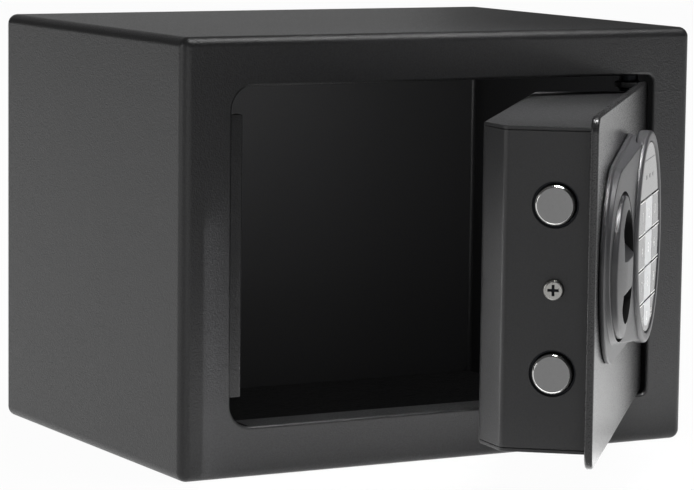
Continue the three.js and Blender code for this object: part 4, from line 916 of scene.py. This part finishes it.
# Black and grey are printed under the clear film, so they are glossy. White ink lies on it and is dull.
DARK_FILM = film("black_key_film", ("#101012", "#151517"), (0.1, 0.16))
PALE_FILM = film("grey_key_film", ("#c6c8ca", "#d0d2d4"), (0.16, 0.24))
WHITE_INK = film("white_screen_ink", ("#f4f4f2", "#fafaf8"), (0.3, 0.4))
LAMP_INK = film("smoke_screen_ink", ("#4a4b4e", "#515256"), (0.3, 0.4))
half = KEY_COLUMN / 2
COLUMNS = [(-PAD_A, -half), (-half, half), (half, PAD_A)]
FIGURE_X, STAR_RISE = (-17.5, 0, 17.5), -1.0
LAST_ROW_SHARE = 0.72  # how far out its figures stand, because the oval narrows
KEYS = ["1", "2", "3", "4", "5", "6", "7", "8", "9", "star", "0", "hash"]
SIGNS = {"star": "*", "hash": "#"}
for number, key in enumerate(KEYS):
    row, column = divmod(number, 3)
    high = FIRST_ROW - row * KEY_PITCH - KEY_GAP / 2
    low = FIRST_ROW - (row + 1) * KEY_PITCH + KEY_GAP / 2
    span = (COLUMNS[column][0] + KEY_GAP / 2, COLUMNS[column][1] - KEY_GAP / 2)
    pale = column == 1 and row < 3
    piece = cell(f"film_key_{key}", span, (low, high), KEY_TOP, KEY_TOP + KEY_THICK)
    crisp(piece, 0.12, 2, 50)
    parts = []
    if column != 1:
        rule = cell("rule", span, (high - RULE, high - 0.05), KEY_TOP - INK, KEY_TOP, 0.15)
        parts.append((rule, WHITE_INK))
        if row < 3:
            rule = cell("rule", span, (low + 0.05, low + RULE), KEY_TOP - INK, KEY_TOP, 0.15)
            parts.append((rule, WHITE_INK))
    elif row == 3:
        parts.append((cell("patch", span, (low, high), KEY_TOP - INK / 2, KEY_TOP, 2.2), PALE_FILM))
    across = FIGURE_X[column] * (LAST_ROW_SHARE if row == 3 else 1)
    rise = STAR_RISE if key == "star" else 0
    sign = figure(SIGNS.get(key, key), across, (low + high) / 2 + rise, FIGURE_SIZE, KEY_TOP - INK / 2)
    parts.append((sign, WHITE_INK))
    printed(piece, PALE_FILM if pale else DARK_FILM, parts,
            [WHITE_INK] if row < 3 or column != 1 else [WHITE_INK, PALE_FILM])
    piece.data.transform(TILTED)
    swing(piece)
    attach(piece, f"key_{key}")
    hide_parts(f"key_{key}")

# Smoked film: nearly black and very smooth, so it mirrors what stands before it.
WINDOW_FILM = film("smoked_window", ("#121214", "#161618"), (0.08, 0.12))
LED_SPACING, LED_LIFT = 9, 8
MARK_WIDE, MARK_HIGH, MARK_CORNER, WINDOW_RULE = 2.6, 1.7, 0.8, 0.35
panel = cell("lamp_window", (-PAD_A, PAD_A), (FIRST_ROW + KEY_GAP / 2, PAD_B),
             KEY_TOP, KEY_TOP + WINDOW_THICK)
crisp(panel, 0.12, 2, 50)
marks = [(cell("rule", (-PAD_A, PAD_A), (FIRST_ROW + RULE_ABOVE, FIRST_ROW + RULE_ABOVE + WINDOW_RULE),
               KEY_TOP - INK, KEY_TOP, 1.5), LAMP_INK)]
for index in (-1, 0, 1):
    across, up = index * LED_SPACING, FIRST_ROW + LED_LIFT
    mark = block("mark", (across - MARK_WIDE / 2, KEY_TOP - INK, up - MARK_HIGH / 2),
                 (across + MARK_WIDE / 2, KEY_TOP, up + MARK_HIGH / 2))
    soften(mark, lambda edge: along(edge, 1), MARK_CORNER, 5)
    marks.append((mark, LAMP_INK))
printed(panel, WINDOW_FILM, marks, [LAMP_INK])
panel.data.transform(TILTED)
swing(panel)
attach(panel, "door")
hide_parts("status_window")
# Clear tinted epoxy: a dark colour under a glossy skin, as a lamp looks that is off.
for colour, tint in (("red", "#8a2320"), ("green", "#2c6b35"), ("amber", "#8d6a1f")):
    material, tree, surface, place = shader(f"{colour}_epoxy_lens", IOR=1.55, Coat_Weight=0.3)
    mottle(tree, surface, place, 0.8, (tint, tint), (0.18, 0.26), 0.004)
    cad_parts[f"led_{colour}"].data.materials.clear()
    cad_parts[f"led_{colour}"].data.materials.append(material)
